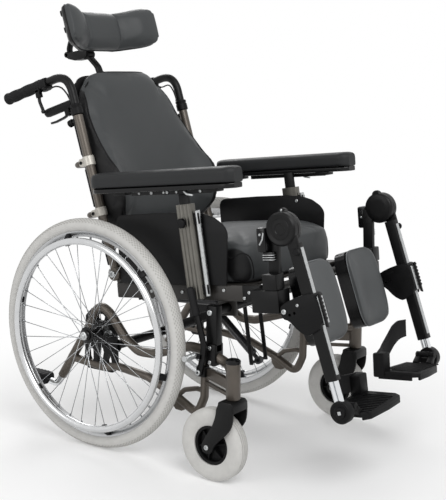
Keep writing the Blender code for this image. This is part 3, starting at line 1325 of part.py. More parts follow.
def build_legrest(seat, name, side):
    swing = (SWING_X, SWING_Y, 0.060)
    drop = FOOT_DROP[name]
    piece(f"legrest_hanger_{name}", legrest_hanger(), "black_metal", seat, swing, side)
    leg = frame(f"leg_frame_{name}", seat, (0, KNEE_Y, KNEE_Z), LEG_LEAN - SEAT_TILT)
    piece(f"leg_tube_{name}", leg_tube(), "black_metal", leg, side=side)
    piece(f"calf_bracket_{name}", calf_bracket(), "black_plastic", leg, side=side)
    piece(f"calf_pad_{name}", calf_pad(), "pad_vinyl", leg, (CALF_END, 0.048, -0.188), side)
    piece(f"foot_tube_{name}", foot_tube(drop), "chrome", leg, (LEG_X, LEG_Y, drop), side)
    foot = frame(f"foot_frame_{name}", leg, (0, LEG_Y, drop), FOOT_LEAN - LEG_LEAN)
    piece(f"footplate_{name}", footplate(), "black_plastic", foot, (FOOT_HINGE_X, 0, FOOT_HINGE_Z), side)


def main():
    clear_scene()
    chair = frame("chair", None, (0, AXLE_Y, 0))
    seat = frame("seat", chair, (0, PIVOT_Y, PIVOT_Z), SEAT_TILT)
    back = frame("back", seat, (0, HINGE_Y, HINGE_Z), BACK_LEAN - SEAT_TILT)
    build_chassis(chair)
    build_seat(seat)
    build_back(back)
    for name, side in SIDES:
        build_legrest(seat, name, side)
    gas_spring("tilt_spring", TILT_X, chair, SPRING_A, seat, SPRING_B, 0.62, 0.085, 0.034)
    gas_spring("recline_spring", -RECLINE_X, seat, SPRING_C, back, SPRING_D, 0.66, 0.070, 0.062)


main()
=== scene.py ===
"""Looks of a reclining wheelchair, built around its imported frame.

Metres, +Z up, front towards -Y, the occupant's left towards +X. The pieces of one side are made
on the left, in the frame of what carries them, then mirrored for the right and moved into place.
"""

import json
import math

import bmesh
import bpy
import numpy as np
from mathutils import Matrix, Vector
from mathutils.bvhtree import BVHTree

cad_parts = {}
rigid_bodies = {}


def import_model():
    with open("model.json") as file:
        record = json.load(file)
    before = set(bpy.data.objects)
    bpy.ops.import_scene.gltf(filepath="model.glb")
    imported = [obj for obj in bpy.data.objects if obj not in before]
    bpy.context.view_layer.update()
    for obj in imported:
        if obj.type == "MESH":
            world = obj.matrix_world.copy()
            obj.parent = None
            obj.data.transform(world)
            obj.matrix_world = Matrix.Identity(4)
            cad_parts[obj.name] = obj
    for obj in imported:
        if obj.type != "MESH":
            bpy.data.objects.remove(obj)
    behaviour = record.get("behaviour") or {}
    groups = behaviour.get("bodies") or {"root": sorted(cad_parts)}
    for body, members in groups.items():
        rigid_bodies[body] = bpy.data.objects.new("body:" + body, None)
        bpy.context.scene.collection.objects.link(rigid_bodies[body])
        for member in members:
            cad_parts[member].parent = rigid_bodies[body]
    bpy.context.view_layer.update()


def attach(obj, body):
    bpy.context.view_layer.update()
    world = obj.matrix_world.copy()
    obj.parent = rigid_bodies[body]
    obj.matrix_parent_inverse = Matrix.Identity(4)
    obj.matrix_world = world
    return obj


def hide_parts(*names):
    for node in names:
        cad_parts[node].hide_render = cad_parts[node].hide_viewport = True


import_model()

SIDES = (("left", 1), ("right", -1))

# Places of the groups, as in the frame
AXLE_Y, AXLE_Z = 0.2057, 0.305
PIVOT = (0, -0.35, 0.4)
HINGE = (0, 0.315, 0.09)
POST_FOOT = (0, 0.037, 0.033)
KNEE = (0, -0.2276, 0.2031)
SEAT_TILT = math.radians(-5.65)
BACK_LEAN = math.radians(-17.0)
POST_LEAN = math.radians(-3.8)
LEG_LEAN = math.radians(-19.3)
FOOT_LEAN = math.radians(-6.0)
FOOT_ROLL = math.radians(4.0)
LEG_Y = -0.0185
FOOT_DROP = {"right": -0.439, "left": -0.415}


def turned_about(place, angle):
    return Matrix.Translation(place) @ Matrix.Rotation(angle, 4, "X")


CHAIR = Matrix.Translation((0, AXLE_Y, 0))
SEAT = CHAIR @ turned_about(PIVOT, SEAT_TILT)
BACK = SEAT @ turned_about(HINGE, BACK_LEAN - SEAT_TILT)
POST = SEAT @ turned_about(POST_FOOT, POST_LEAN)
LEG = SEAT @ turned_about(KNEE, LEG_LEAN - SEAT_TILT)
FOOT = {name: LEG @ turned_about((0, LEG_Y, drop), FOOT_LEAN - LEG_LEAN) for name, drop in FOOT_DROP.items()}


# Shapes

WELD = 1e-6
SHARP = 0.5  # radians between two faces, above which their edge is eased
STRAIGHT = 1.57  # half the angle, in radians, at a corner that needs no rounding
SHORTEST, LEG_SHARE = 1e-4, 0.48  # of a corner's rounding, along each of its legs


def mesh_of(work):
    """The worked shape as a mesh with its faces turned outwards."""
    bmesh.ops.remove_doubles(work, verts=work.verts, dist=WELD)
    bmesh.ops.recalc_face_normals(work, faces=work.faces)
    mesh = bpy.data.meshes.new("shape")
    work.to_mesh(mesh)
    work.free()
    return mesh


def scratch(data):
    obj = bpy.data.objects.new("scratch", data)
    bpy.context.scene.collection.objects.link(obj)
    return obj


def applied(obj):
    """The object's mesh after its modifiers, with the object removed."""
    graph = bpy.context.evaluated_depsgraph_get()
    mesh = bpy.data.meshes.new_from_object(obj.evaluated_get(graph), depsgraph=graph)
    bpy.data.objects.remove(obj)
    return mesh


def merged(*meshes):
    """Closed shells put together in one mesh, as they are."""
    work = bmesh.new()
    for mesh in meshes:
        work.from_mesh(mesh)
    result = bpy.data.meshes.new("shape")
    work.to_mesh(result)
    work.free()
    return result


def eased(mesh, width):
    """The mesh with its sharp edges rounded."""
    work = bmesh.new()
    work.from_mesh(mesh)
    sharp = [e for e in work.edges if len(e.link_faces) == 2 and e.calc_face_angle() > SHARP]
    settings = {"segments": 2, "profile": 0.5, "affect": "EDGES", "clamp_overlap": True}
    bmesh.ops.bevel(work, geom=sharp, offset=width, **settings)
    return mesh_of(work)


def moved(mesh, matrix):
    mesh.transform(matrix)
    return mesh


def filleted(points, bend, steps):
    """The path with each corner rounded to the bend radius, as far as its legs allow."""
    path = [Vector(p) for p in points]
    out = [path[0]]
    for before, corner, after in zip(path, path[1:], path[2:]):
        back, ahead = before - corner, after - corner
        half = back.angle(ahead) / 2
        reach = bend / math.tan(half) if half < STRAIGHT else 0.0
        reach = min(reach, LEG_SHARE * back.length, LEG_SHARE * ahead.length)
        count = max(2, round((math.pi - 2 * half) / (math.pi / 2) * steps))
        if reach < SHORTEST:
            out.append(corner)
            continue
        start = corner + back.normalized() * reach
        end = corner + ahead.normalized() * reach
        for i in range(count + 1):
            t = i / count
            out.append(start * (1 - t) ** 2 + corner * (2 * t * (1 - t)) + end * t**2)
    out.append(path[-1])
    return out


def at(x, path):
    """(y, z) pairs as points in the plane of the given x."""
    return [(x, y, z) for y, z in path]


def bent(path, bend, steps=6):
    """(y, z) pairs with their corners rounded to the bend radius."""
    return [(p.y, p.z) for p in filleted(at(0, path), bend, steps)]


def skin(work, rings, caps=(0, -1), closed=False):
    """A mesh of the faces between rings of equally many points, with a cap on the named rings."""
    for end in caps:
        work.faces.new(rings[end])
    pairs = list(zip(rings, rings[1:]))
    if closed:
        pairs.append((rings[-1], rings[0]))
    for ring, following in pairs:
        for k, point in enumerate(ring):
            j = (k + 1) % len(ring)
            work.faces.new((point, ring[j], following[j], following[k]))
    return mesh_of(work)


def swept(path, section, closed=False, grow=None):
    """A section of (across, up) pairs carried along the path. grow gives its scale at a share of it."""
    work = bmesh.new()
    rings = []
    side = None
    count = len(path)
    for i, point in enumerate(path):
        ahead = path[(i + 1) % count] if closed else path[min(i + 1, count - 1)]
        behind = path[i - 1] if closed or i else path[0]
        way = (Vector(ahead) - Vector(behind)).normalized()
        if side is None:
            side = Vector((1, 0, 0)) if abs(way.x) < 0.8 else Vector((0, 0, 1))
        side = (side - way * side.dot(way)).normalized()
        other = way.cross(side)
        size = grow(i / (count - 1)) if grow else 1.0
        rings.append([work.verts.new(Vector(point) + (side * a + other * b) * size) for a, b in section])
    return skin(work, rings, () if closed else (0, -1), closed)


def circle(radius, sides=20):
    angles = [2 * math.pi * k / sides for k in range(sides)]
    return [(radius * math.cos(angle), radius * math.sin(angle)) for angle in angles]


def oblong(half_wide, half_high, corner):
    """A rectangle with rounded corners, as (across, up) pairs."""
    out = []
    steps = 4
    for turn, (sx, sy) in enumerate(((1, 1), (-1, 1), (-1, -1), (1, -1))):
        for k in range(steps + 1):
            angle = math.pi / 2 * (turn + k / steps)
            across = sx * (half_wide - corner) + corner * math.cos(angle)
            out.append((across, sy * (half_high - corner) + corner * math.sin(angle)))
    return out


def tube(points, radius, bend, sides=20, steps=8):
    """A round tube, its path rounded to the bend radius."""
    return swept(filleted(points, bend, steps), circle(radius, sides))


def rod(start, end, radius, sides=20, ease=0.0008):
    """A straight round bar with eased ends."""
    start, end = Vector(start), Vector(end)
    way = (end - start).normalized()
    path = [start, start + way * ease, end - way * ease, end]
    sizes = {0: 1 - ease / radius, 1 / 3: 1.0, 2 / 3: 1.0, 1: 1 - ease / radius}
    return swept(path, circle(radius, sides), grow=lambda t: sizes[min(sizes, key=lambda s: abs(s - t))])


def lathed(profile, centre=(0, 0, 0), axis=(0, 0, 1), steps=48, ring=False):
    """(radius, height) pairs turned round an axis through the centre. A ring closes on itself."""
    work = bmesh.new()
    turn = Vector((0, 0, 1)).rotation_difference(Vector(axis)).to_matrix()
    rows = []
    for k in range(steps):
        angle = 2 * math.pi * k / steps
        spots = [Vector((r * math.cos(angle), r * math.sin(angle), h)) for r, h in profile]
        rows.append([work.verts.new(Vector(centre) + turn @ spot) for spot in spots])
    last = len(profile) if ring else len(profile) - 1
    for row, following in zip(rows, rows[1:] + rows[:1]):
        for j in range(last):
            k = (j + 1) % len(profile)
            work.faces.new((row[j], row[k], following[k], following[j]))
    if not ring:
        for end in (0, -1):
            if profile[end][0] > 1e-5:
                work.faces.new([row[end] for row in rows])
    bmesh.ops.remove_doubles(work, verts=work.verts, dist=WELD)
    return mesh_of(work)


def flipped(half):
    """The other half of a lathed profile, mirrored in height and in the order that goes on from it."""
    return [(radius, -height) for radius, height in reversed(half)]


def disc(centre, axis, radius, half, ease=0.001):
    """A round plate with eased rims."""
    ease = min(ease, half * 0.9, radius * 0.5)
    profile = [(radius - ease, -half), (radius, -half + ease), (radius, half - ease), (radius - ease, half)]
    return lathed(profile, centre, axis, 32)


def slab(outline, low, high, axis=0, ease=0.001):
    """The outline extruded along an axis, with its edges eased."""
    work = bmesh.new()
    ring = []
    for pair in outline:
        spot = list(pair)
        spot.insert(axis, low)
        ring.append(work.verts.new(spot))
    way = Vector((0, 0, 0))
    way[axis] = high - low
    raised = bmesh.ops.extrude_face_region(work, geom=[work.faces.new(ring)])
    bmesh.ops.translate(work, verts=[v for v in raised["geom"] if isinstance(v, bmesh.types.BMVert)], vec=way)
    bmesh.ops.recalc_face_normals(work, faces=work.faces)
    mesh = mesh_of(work)
    return eased(mesh, ease) if ease else mesh


def smooth_outline(pairs, rounds=2):
    """A closed outline with its corners cut, a quarter of each leg at a time."""
    for _ in range(rounds):
        out = []
        for (ax, ay), (bx, by) in zip(pairs, pairs[1:] + pairs[:1]):
            out.append((ax * 0.75 + bx * 0.25, ay * 0.75 + by * 0.25))
            out.append((ax * 0.25 + bx * 0.75, ay * 0.25 + by * 0.75))
        pairs = out
    return pairs


def brick(low, high, ease=0.0012):
    """A box between two corners, with its edges eased."""
    (x0, y0, z0), (x1, y1, z1) = low, high
    return slab([(y0, z0), (y1, z0), (y1, z1), (y0, z1)], x0, x1, 0, ease)


def apart(side, near, far, middle=0.0):
    """The x range between two distances out from the middle to one side, lowest first."""
    return sorted((middle + side * near, middle + side * far))


def bar(path, width, low, high, ease):
    """A flat bar of the given width along (y, z) pairs, between two x."""
    points = [Vector(p) for p in path]
    left, right = [], []
    for i, point in enumerate(points):
        ahead = points[min(i + 1, len(points) - 1)] - points[max(i - 1, 0)]
        side = Vector((-ahead.y, ahead.x)).normalized() * width / 2
        left.append(point + side)
        right.append(point - side)
    return slab([tuple(p) for p in left + right[::-1]], low, high, 0, ease)


def grid_box(counts, place):
    """A closed box surface with a grid on each face, each point moved by place(u, v, w)."""
    work = bmesh.new()
    for axis in range(3):
        across, up = [k for k in range(3) if k != axis]
        for end in (-1.0, 1.0):
            grid = []
            for i in range(counts[across] + 1):
                row = []
                for j in range(counts[up] + 1):
                    spot = [end, end, end]
                    spot[across] = 2 * i / counts[across] - 1
                    spot[up] = 2 * j / counts[up] - 1
                    row.append(work.verts.new(place(*spot)))
                grid.append(row)
            for i in range(counts[across]):
                for j in range(counts[up]):
                    work.faces.new((grid[i][j], grid[i + 1][j], grid[i + 1][j + 1], grid[i][j + 1]))
    return mesh_of(work)


def rounded(u, v, sharp):
    """(u, v) in a square brought towards a square with rounded corners."""
    far = max(abs(u), abs(v))
    if far < 1e-9:
        return u, v
    scale = far / (abs(u) ** sharp + abs(v) ** sharp) ** (1 / sharp)
    return u * scale, v * scale


def subdivided(mesh):
    obj = scratch(mesh)
    step = obj.modifiers.new("finer", "SUBSURF")
    step.levels = step.render_levels = 1
    return applied(obj)


# Materials

SEAM_BLUR = 0.001


def linear(code):
    """An sRGB hex colour as the linear values that a shader takes."""
    out = []
    for k in (0, 2, 4):
        value = int(code[k : k + 2], 16) / 255
        out.append(value / 12.92 if value <= 0.04045 else ((value + 0.055) / 1.055) ** 2.4)
    return (*out, 1.0)


def add(tree, kind, links=None, **settings):
    """One node with its settings. Each input takes a value or another node's output."""
    node = tree.nodes.new(kind)
    for key, value in settings.items():
        setattr(node, key, value)
    for key, value in (links or {}).items():
        if isinstance(value, bpy.types.NodeSocket):
            tree.links.new(value, node.inputs[key])
        else:
            node.inputs[key].default_value = value
    return node


def surface(name, dark, light, roughness, metallic, patch, grain, depth, shine=0.5, cells=False, second=None):
    """A finish with soft colour patches and a relief. Patch, grain and depth are in millimetres.

    The roughness is a pair, smooth to rough, and follows the patches. The relief is soft noise, or
    pebbles where cells is set. A second colour shows past the seam, where the piece's panel
    attribute is above zero.
    """
    made = bpy.data.materials.new(name)
    made.use_nodes = True
    tree = made.node_tree
    shader = tree.nodes["Principled BSDF"]
    place = add(tree, "ShaderNodeTexCoord").outputs["Object"]
    links = {"Vector": place, "Scale": 1000 / patch, "Detail": 4.0, "Roughness": 0.6}
    patches = add(tree, "ShaderNodeTexNoise", links).outputs["Fac"]
    links = {0: patches, 6: linear(dark), 7: linear(light)}
    colour = add(tree, "ShaderNodeMix", links, data_type="RGBA").outputs[2]
    if second:
        past = add(tree, "ShaderNodeAttribute", attribute_name="panel").outputs["Fac"]
        links = {"Value": past, "From Min": -SEAM_BLUR, "From Max": SEAM_BLUR}
        share = add(tree, "ShaderNodeMapRange", links).outputs["Result"]
        links = {0: share, 6: colour, 7: linear(second)}
        colour = add(tree, "ShaderNodeMix", links, data_type="RGBA").outputs[2]
    tree.links.new(colour, shader.inputs["Base Color"])
    smooth, rough = roughness
    links = {"Value": patches, "From Min": 0.3, "From Max": 0.7, "To Min": smooth, "To Max": rough}
    dull = add(tree, "ShaderNodeMapRange", links)
    tree.links.new(dull.outputs["Result"], shader.inputs["Roughness"])
    links = {"Vector": place, "Scale": 1000 / grain}
    if cells:
        height = add(tree, "ShaderNodeTexVoronoi", links, feature="SMOOTH_F1").outputs["Distance"]
    else:
        height = add(tree, "ShaderNodeTexNoise", {**links, "Detail": 3.0}).outputs["Fac"]
    relief = add(tree, "ShaderNodeBump", {"Height": height, "Distance": depth / 1000, "Strength": 1.0})
    tree.links.new(relief.outputs["Normal"], shader.inputs["Normal"])
    shader.inputs["Metallic"].default_value = metallic
    shader.inputs["Specular IOR Level"].default_value = shine
    made.diffuse_color = linear(light)
    return made


LOOKS = {
    # Metallic paint on steel tube: a warm grey that brightens along the top, with some orange peel
    "frame_taupe": surface("metallic_paint_taupe", "4a453f", "615a53", (0.32, 0.42), 0.5, 60, 1.6, 0.01),
    "rail_taupe": surface("metallic_paint_dark_taupe", "211f1d", "2c2926", (0.4, 0.52), 0.2, 60, 1.6, 0.01),
    # Extruded aluminium, anodised: soft streaks of grey. Its die lines are drawn coarser, at 2 mm
    "post_grey": surface("anodised_aluminium_grey", "5c5a55", "75736d", (0.3, 0.42), 0.8, 30, 2, 0.004),
    # Powder coat: fine orange peel with a low sheen
    "black_metal": surface("powder_coat_black", "060606", "0b0b0c", (0.32, 0.44), 0, 50, 1.6, 0.04, 0.2),
    # Glass-filled nylon: dull spark-eroded grain, drawn coarser than it is, at 0.9 mm
    "black_plastic": surface("moulded_nylon_black", "060607", "0c0c0d", (0.42, 0.56), 0, 35, 0.9, 0.05, 0.16),
    # Moulded in a polished tool: a clear highlight, slightly wavy
    "gloss_plastic": surface("moulded_abs_black", "080809", "0e0e0f", (0.18, 0.28), 0, 60, 2, 0.01, 0.26),
    # Matt rubber that spreads its highlight. Its texture is drawn coarser than it is, at 0.9 mm
    "grip_rubber": surface("moulded_rubber_black", "101011", "19191a", (0.56, 0.68), 0, 25, 0.9, 0.1, 0.18),
    # Zinc casting under a clear coat: pale and half metallic
    "clamp_white": surface("cast_zinc_clear_coated", "aeaaa2", "c4c0b8", (0.3, 0.42), 0.35, 20, 1.2, 0.02),
    # Anodised rim: bright satin, faintly clouded
    "rim_silver": surface("anodised_aluminium_silver", "a9aaab", "c2c3c4", (0.24, 0.34), 0.9, 40, 3, 0.004),
    # Polished tube: bright and dark bands run along it
    "handrim_silver": surface("polished_aluminium", "c2c3c4", "d8d9da", (0.16, 0.24), 1, 50, 5, 0.002),
    # Wire: thin bright lines
    "spoke_steel": surface("drawn_stainless_steel", "9b9d9f", "b8babc", (0.2, 0.3), 1, 10, 3, 0.002),
    # Plated tube: sharp reflections of white and dark
    "chrome": surface("chrome_plated_steel", "d4d6d8", "e6e8ea", (0.06, 0.12), 1, 80, 8, 0.001),
    # Screws, clips and pins: pale grey with a mottled sheen
    "zinc": surface("zinc_plated_steel", "a6a8a9", "c4c6c6", (0.25, 0.38), 0.95, 8, 2, 0.004),
    # Baked enamel: dark and smooth, with one soft highlight along the cylinder
    "spring_grey": surface("enamelled_steel_grey", "2a2a2c", "363638", (0.28, 0.38), 0.3, 50, 1.6, 0.02),
    # Extruded sheath: one narrow highlight
    "cable_black": surface("pvc_sheath_black", "0c0c0d", "141415", (0.35, 0.45), 0, 30, 1, 0.02, 0.3),
    # Cast polyurethane: chalky pale grey with a slightly darker tread
    "tyre_grey": surface(
        "cast_polyurethane_pale_grey", "b2b1ae", "c9c8c5", (0.55, 0.7), 0, 22, 1.2, 0.03, 0.3
    ),
    "tyre_lug": surface("cast_polyurethane_tread", "979692", "aeada9", (0.6, 0.75), 0, 22, 1.2, 0.03, 0.3),
    # Coated upholstery cloth: rounded pebble grain with a soft sheen, and black past the seams
    "vinyl": surface(
        "upholstery_vinyl_slate", "393b3c", "444647", (0.42, 0.55), 0, 45, 1.1, 0.1, 0.24, True, "0b0b0c"
    ),
    "vinyl_calf": surface(
        "upholstery_vinyl_slate_calf", "434546", "4f5152", (0.42, 0.55), 0, 45, 1.1, 0.1, 0.3, True
    ),
    "side_vinyl": surface(
        "upholstery_vinyl_black", "0a0a0b", "111112", (0.4, 0.52), 0, 45, 1.1, 0.1, 0.18, True
    ),
    # Tape sewn over a cord: dull, so that seams read as lines. Its weave is drawn coarser, at 0.8 mm
    "piping": surface("woven_tape_black", "0b0b0c", "141415", (0.6, 0.75), 0, 12, 0.8, 0.06, 0.2),
    # Self-skinned polyurethane foam: smooth, a little shiny
    "pad_vinyl": surface("moulded_foam_skin_black", "1c1d1e", "272829", (0.46, 0.58), 0, 50, 1.2, 0.04, 0.22),
    # Coloured through: flat and even, on the side panels' caps. Round the calf pads, its pale grey is a
    # painted highlight along the shell's edge
    "cap_grey": surface("moulded_nylon_grey_and_painted_highlight", "5d6062", "707375", (0.35, 0.45), 0, 20, 0.8, 0.03),
    # Woven band: matt ribs, drawn coarser than they are, at 1.6 mm
    "webbing": surface("woven_nylon_band", "101011", "1c1c1d", (0.6, 0.75), 0, 15, 1.6, 0.2, 0.22, True),
}


def finished(name, mesh, look, body, node=None, place=CHAIR, side=1, crisp=35, slot=None):
    """A piece from a mesh on the left of its group's frame, which moves with a body.

    It stands for the node, where one is named. Edges sharper than crisp, in degrees, stay crisp.
    """
    if side < 0:
        mesh.transform(Matrix.Diagonal((-1, 1, 1, 1)))
        mesh.flip_normals()
    mesh.transform(place)
    mesh.materials.clear()
    mesh.materials.append(LOOKS[look])
    mesh.shade_smooth()
    if crisp:
        mesh.set_sharp_from_angle(angle=math.radians(crisp))
    mesh.name = name
    obj = bpy.data.objects.new(name, mesh)
    bpy.context.scene.collection.objects.link(obj)
    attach(obj, body)
    if node:
        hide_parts(node)
    return obj


# What repeats


def new_tree(name, inputs):
    """An empty geometry tree with its named inputs and one output."""
    tree = bpy.data.node_groups.new(name, "GeometryNodeTree")
    for label, kind in inputs:
        tree.interface.new_socket(name=label, in_out="INPUT", socket_type="NodeSocket" + kind)
    tree.interface.new_socket(name="Geometry", in_out="OUTPUT", socket_type="NodeSocketGeometry")
    return tree, add(tree, "NodeGroupInput").outputs


def close_tree(tree, given, copies):
    """Ends a tree with real copies in the given material."""
    real = add(tree, "GeometryNodeRealizeInstances", {"Geometry": copies.outputs["Instances"]})
    links = {"Geometry": real.outputs["Geometry"], "Material": given["Material"]}
    painted = add(tree, "GeometryNodeSetMaterial", links)
    add(tree, "NodeGroupOutput", {"Geometry": painted.outputs["Geometry"]})
    return tree


def ring_tree():
    """A piece repeated at equal angles round Z, its X pointing outwards."""
    inputs = [("Piece", "Object"), ("Count", "Int"), ("Radius", "Float"), ("Material", "Material")]
    tree, given = new_tree("round_a_wheel", inputs)
    spots = add(tree, "GeometryNodeMeshCircle", {"Vertices": given["Count"], "Radius": given["Radius"]})
    place = add(tree, "GeometryNodeInputPosition").outputs["Position"]
    facing = add(tree, "FunctionNodeAlignRotationToVector", {"Vector": place}, axis="X", pivot_axis="Z")
    piece = add(tree, "GeometryNodeObjectInfo", {"Object": given["Piece"]})
    links = {
        "Points": spots.outputs["Mesh"],
        "Instance": piece.outputs["Geometry"],
        "Rotation": facing.outputs["Rotation"],
    }
    return close_tree(tree, given, add(tree, "GeometryNodeInstanceOnPoints", links))


def spot_tree():
    """A piece at each point of a mesh, its Z along the point's facing and scaled by its size."""
    inputs = [("Spots", "Object"), ("Piece", "Object"), ("Material", "Material")]
    tree, given = new_tree("at_spots", inputs)
    spots = add(tree, "GeometryNodeObjectInfo", {"Object": given["Spots"]})
    facing = add(tree, "GeometryNodeInputNamedAttribute", {"Name": "facing"}, data_type="FLOAT_VECTOR")
    size = add(tree, "GeometryNodeInputNamedAttribute", {"Name": "size"}, data_type="FLOAT")
    turn = add(tree, "FunctionNodeAlignRotationToVector", {"Vector": facing.outputs["Attribute"]}, axis="Z")
    piece = add(tree, "GeometryNodeObjectInfo", {"Object": given["Piece"]})
    links = {
        "Points": spots.outputs["Geometry"],
        "Instance": piece.outputs["Geometry"],
        "Rotation": turn.outputs["Rotation"],
        "Scale": size.outputs["Attribute"],
    }
    return close_tree(tree, given, add(tree, "GeometryNodeInstanceOnPoints", links))


RING, SPOT = ring_tree(), spot_tree()


def from_tree(tree, look, values):
    """The mesh that a tree gives. Meshes among its values become objects for a moment."""
    obj = scratch(bpy.data.meshes.new("seed"))
    step = obj.modifiers.new("made", "NODES")
    step.node_group = tree
    helpers = []
    for item in tree.interface.items_tree:
        if item.in_out != "INPUT":
            continue
        value = LOOKS[look] if item.name == "Material" else values[item.name]
        if isinstance(value, bpy.types.Mesh):
            value = scratch(value)
            helpers.append(value)
        step[item.identifier] = value
    mesh = applied(obj)
    for helper in helpers:
        bpy.data.objects.remove(helper)
    return mesh


def ring_of(piece, count, look, phase=0.0):
    """Copies of a piece round Z. The piece is modelled where it stands at angle zero."""
    circle_radius = 0.01
    piece.transform(Matrix.Translation((-circle_radius, 0, 0)))
    mesh = from_tree(RING, look, {"Piece": piece, "Count": count, "Radius": circle_radius})
    return moved(mesh, Matrix.Rotation(phase, 4, "Z"))


def socket_screws(places):
    """Cap screws with a socket, from (place, facing, head radius) rows."""
    spots = bpy.data.meshes.new("spots")
    spots.from_pydata([tuple(place) for place, _, _ in places], [], [])
    spots.attributes.new("facing", "FLOAT_VECTOR", "POINT")
    spots.attributes.new("size", "FLOAT", "POINT")
    for k, (_, way, radius) in enumerate(places):
        spots.attributes["facing"].data[k].vector = way
        spots.attributes["size"].data[k].value = radius
    profile = [(0, -0.3), (1.0, -0.3), (1.0, 0.4), (0.86, 0.55), (0.55, 0.55), (0.52, 0.12), (0, 0.12)]
    head = lathed(profile, steps=18)
    return from_tree(SPOT, "zinc", {"Spots": spots, "Piece": head})


# Wheels

WHEEL_X = 0.2928
TYRE_MIDDLE, TYRE_HALF = 0.286, 0.0187
HUB_IN, HUB_OUT = 0.2625, 0.3215
FLANGES = (0.2705, 0.312)
HANDRIM_X, HANDRIM_R, HANDRIM_TUBE = 0.3212, 0.2484, 0.0092
LUG_COUNT, SPOKE_COUNT, TAB_COUNT = 170, 36, 6
ROUND_STEPS = 160


def on_axle(mesh):
    """From the wheel's own frame, with its axis on Z, to the chair's."""
    return moved(mesh, Matrix.Translation((WHEEL_X, 0, AXLE_Z)) @ Matrix.Rotation(math.pi / 2, 4, "Y"))


def rear_tyre():
    """Smooth solid tyre, round in section."""
    section = [(TYRE_MIDDLE + a, b) for a, b in circle(TYRE_HALF, 32)]
    return on_axle(lathed(section, steps=ROUND_STEPS, ring=True))


def tread():
    """Rows of small raised lugs round the tread, each row half a step on from the last."""
    rows = []
    high, long, wide = 0.0005, 0.0022, 0.0014
    for number, angle in enumerate(range(-55, 56, 11)):
        lug = slab([(-long, -wide), (long, -wide), (long, wide), (-long, wide)], -0.0006, high, 0, 0)
        lean = Matrix.Translation((TYRE_MIDDLE, 0, 0)) @ Matrix.Rotation(-math.radians(angle), 4, "Y")
        moved(lug, lean @ Matrix.Translation((TYRE_HALF - 0.0001, 0, 0)))
        rows.append(ring_of(lug, LUG_COUNT, "tyre_lug", math.pi / LUG_COUNT * (number % 2)))
    return on_axle(merged(*rows))


def rear_rim():
    """Double-walled rim with turned-in lips beside the tyre."""
    half = [(0.257, 0.0066), (0.2582, 0.0085), (0.264, 0.0112), (0.2695, 0.0138), (0.272, 0.0144)]
    half += [(0.2728, 0.014), (0.2722, 0.0134), (0.269, 0.011), (0.2665, 0.0076)]
    profile = half + flipped(half)
    return on_axle(lathed(profile, steps=ROUND_STEPS, ring=True))


def spokes():
    """Thirty-six crossed spokes in four sets of nine."""
    sets = []
    for outer in (0, 1):
        for lead in (1, -1):
            turn = -lead * math.radians(50)
            foot = Vector((0.0195 * math.cos(turn), 0.0195 * math.sin(turn), FLANGES[outer] - WHEEL_X))
            tip = Vector((0.2575, 0, 0.003 if outer else -0.003))
            phase = math.radians(10 * outer + 20 * (lead < 0))
            sets.append(ring_of(swept([foot, tip], circle(0.001, 6)), SPOKE_COUNT // 4, "spoke_steel", phase))
    return on_axle(merged(*sets))


def nipples():
    profile = [(0.0012, 0.249), (0.0019, 0.25), (0.0019, 0.256), (0.0028, 0.2575)]
    return on_axle(ring_of(lathed(profile, axis=(1, 0, 0), steps=8), SPOKE_COUNT, "spoke_steel"))


def hub():
    """Hub shell between two drilled flanges."""
    profile = [(0.0068, HUB_IN), (0.0135, HUB_IN), (0.015, HUB_IN + 0.0015)]
    for flange in FLANGES:
        profile += [(0.015, flange - 0.003), (0.0212, flange - 0.0022), (0.022, flange - 0.0012)]
        profile += [(0.022, flange + 0.0012), (0.0212, flange + 0.0022), (0.015, flange + 0.003)]
        if flange == FLANGES[0]:
            profile += [(0.0118, flange + 0.01), (0.0118, FLANGES[1] - 0.01)]
    profile += [(0.015, HUB_OUT - 0.002), (0.0135, HUB_OUT), (0.0068, HUB_OUT)]
    return lathed(profile, (0, 0, AXLE_Z), (1, 0, 0), 40)


def handrim():
    section = [(HANDRIM_R + a, HANDRIM_X - WHEEL_X + b) for a, b in circle(HANDRIM_TUBE, 20)]
    return on_axle(lathed(section, steps=ROUND_STEPS, ring=True))


def handrim_tabs():
    """Moulded spacers between the rim and the handrim, with a foot under the handrim's tube."""
    outline = [(0.2592, 0.009), (0.2698, 0.0134), (0.2585, 0.025)]
    outline += [(0.2376, 0.0262), (0.237, 0.0205), (0.25, 0.015)]
    shape = slab(outline, -0.0075, 0.0075, 1, 0.0012)
    return on_axle(ring_of(shape, TAB_COUNT, "black_plastic", math.radians(46)))


def axle_button():
    """Quick-release pin with its stepped button and a washer."""
    inner = rod((0.223, 0, AXLE_Z), (HUB_OUT + 0.004, 0, AXLE_Z), 0.006)
    profile = [(0.0, 0.009), (0.0042, 0.009), (0.0058, 0.008), (0.006, 0.0062), (0.0088, 0.006)]
    profile += [(0.0108, 0.005), (0.011, 0.0035), (0.011, 0.0004), (0.0, 0.0004)]
    return merged(inner, lathed(profile, (HUB_OUT, 0, AXLE_Z), (1, 0, 0), 32))


# Castors

CASTOR_X, CASTOR_Y, TRAIL = 0.3, -0.4576, 0.055
CASTOR_R, CASTOR_HUB_R = 0.091, 0.049
HOUSING_R, HOUSING_Z = 0.0175, (0.213, 0.313)
WHEEL_Y = CASTOR_Y + TRAIL


def on_castor(mesh):
    """From the castor wheel's own frame, with its axis on Z, to the chair's."""
    place = Matrix.Translation((CASTOR_X, WHEEL_Y, CASTOR_R))
    return moved(mesh, place @ Matrix.Rotation(math.pi / 2, 4, "Y"))


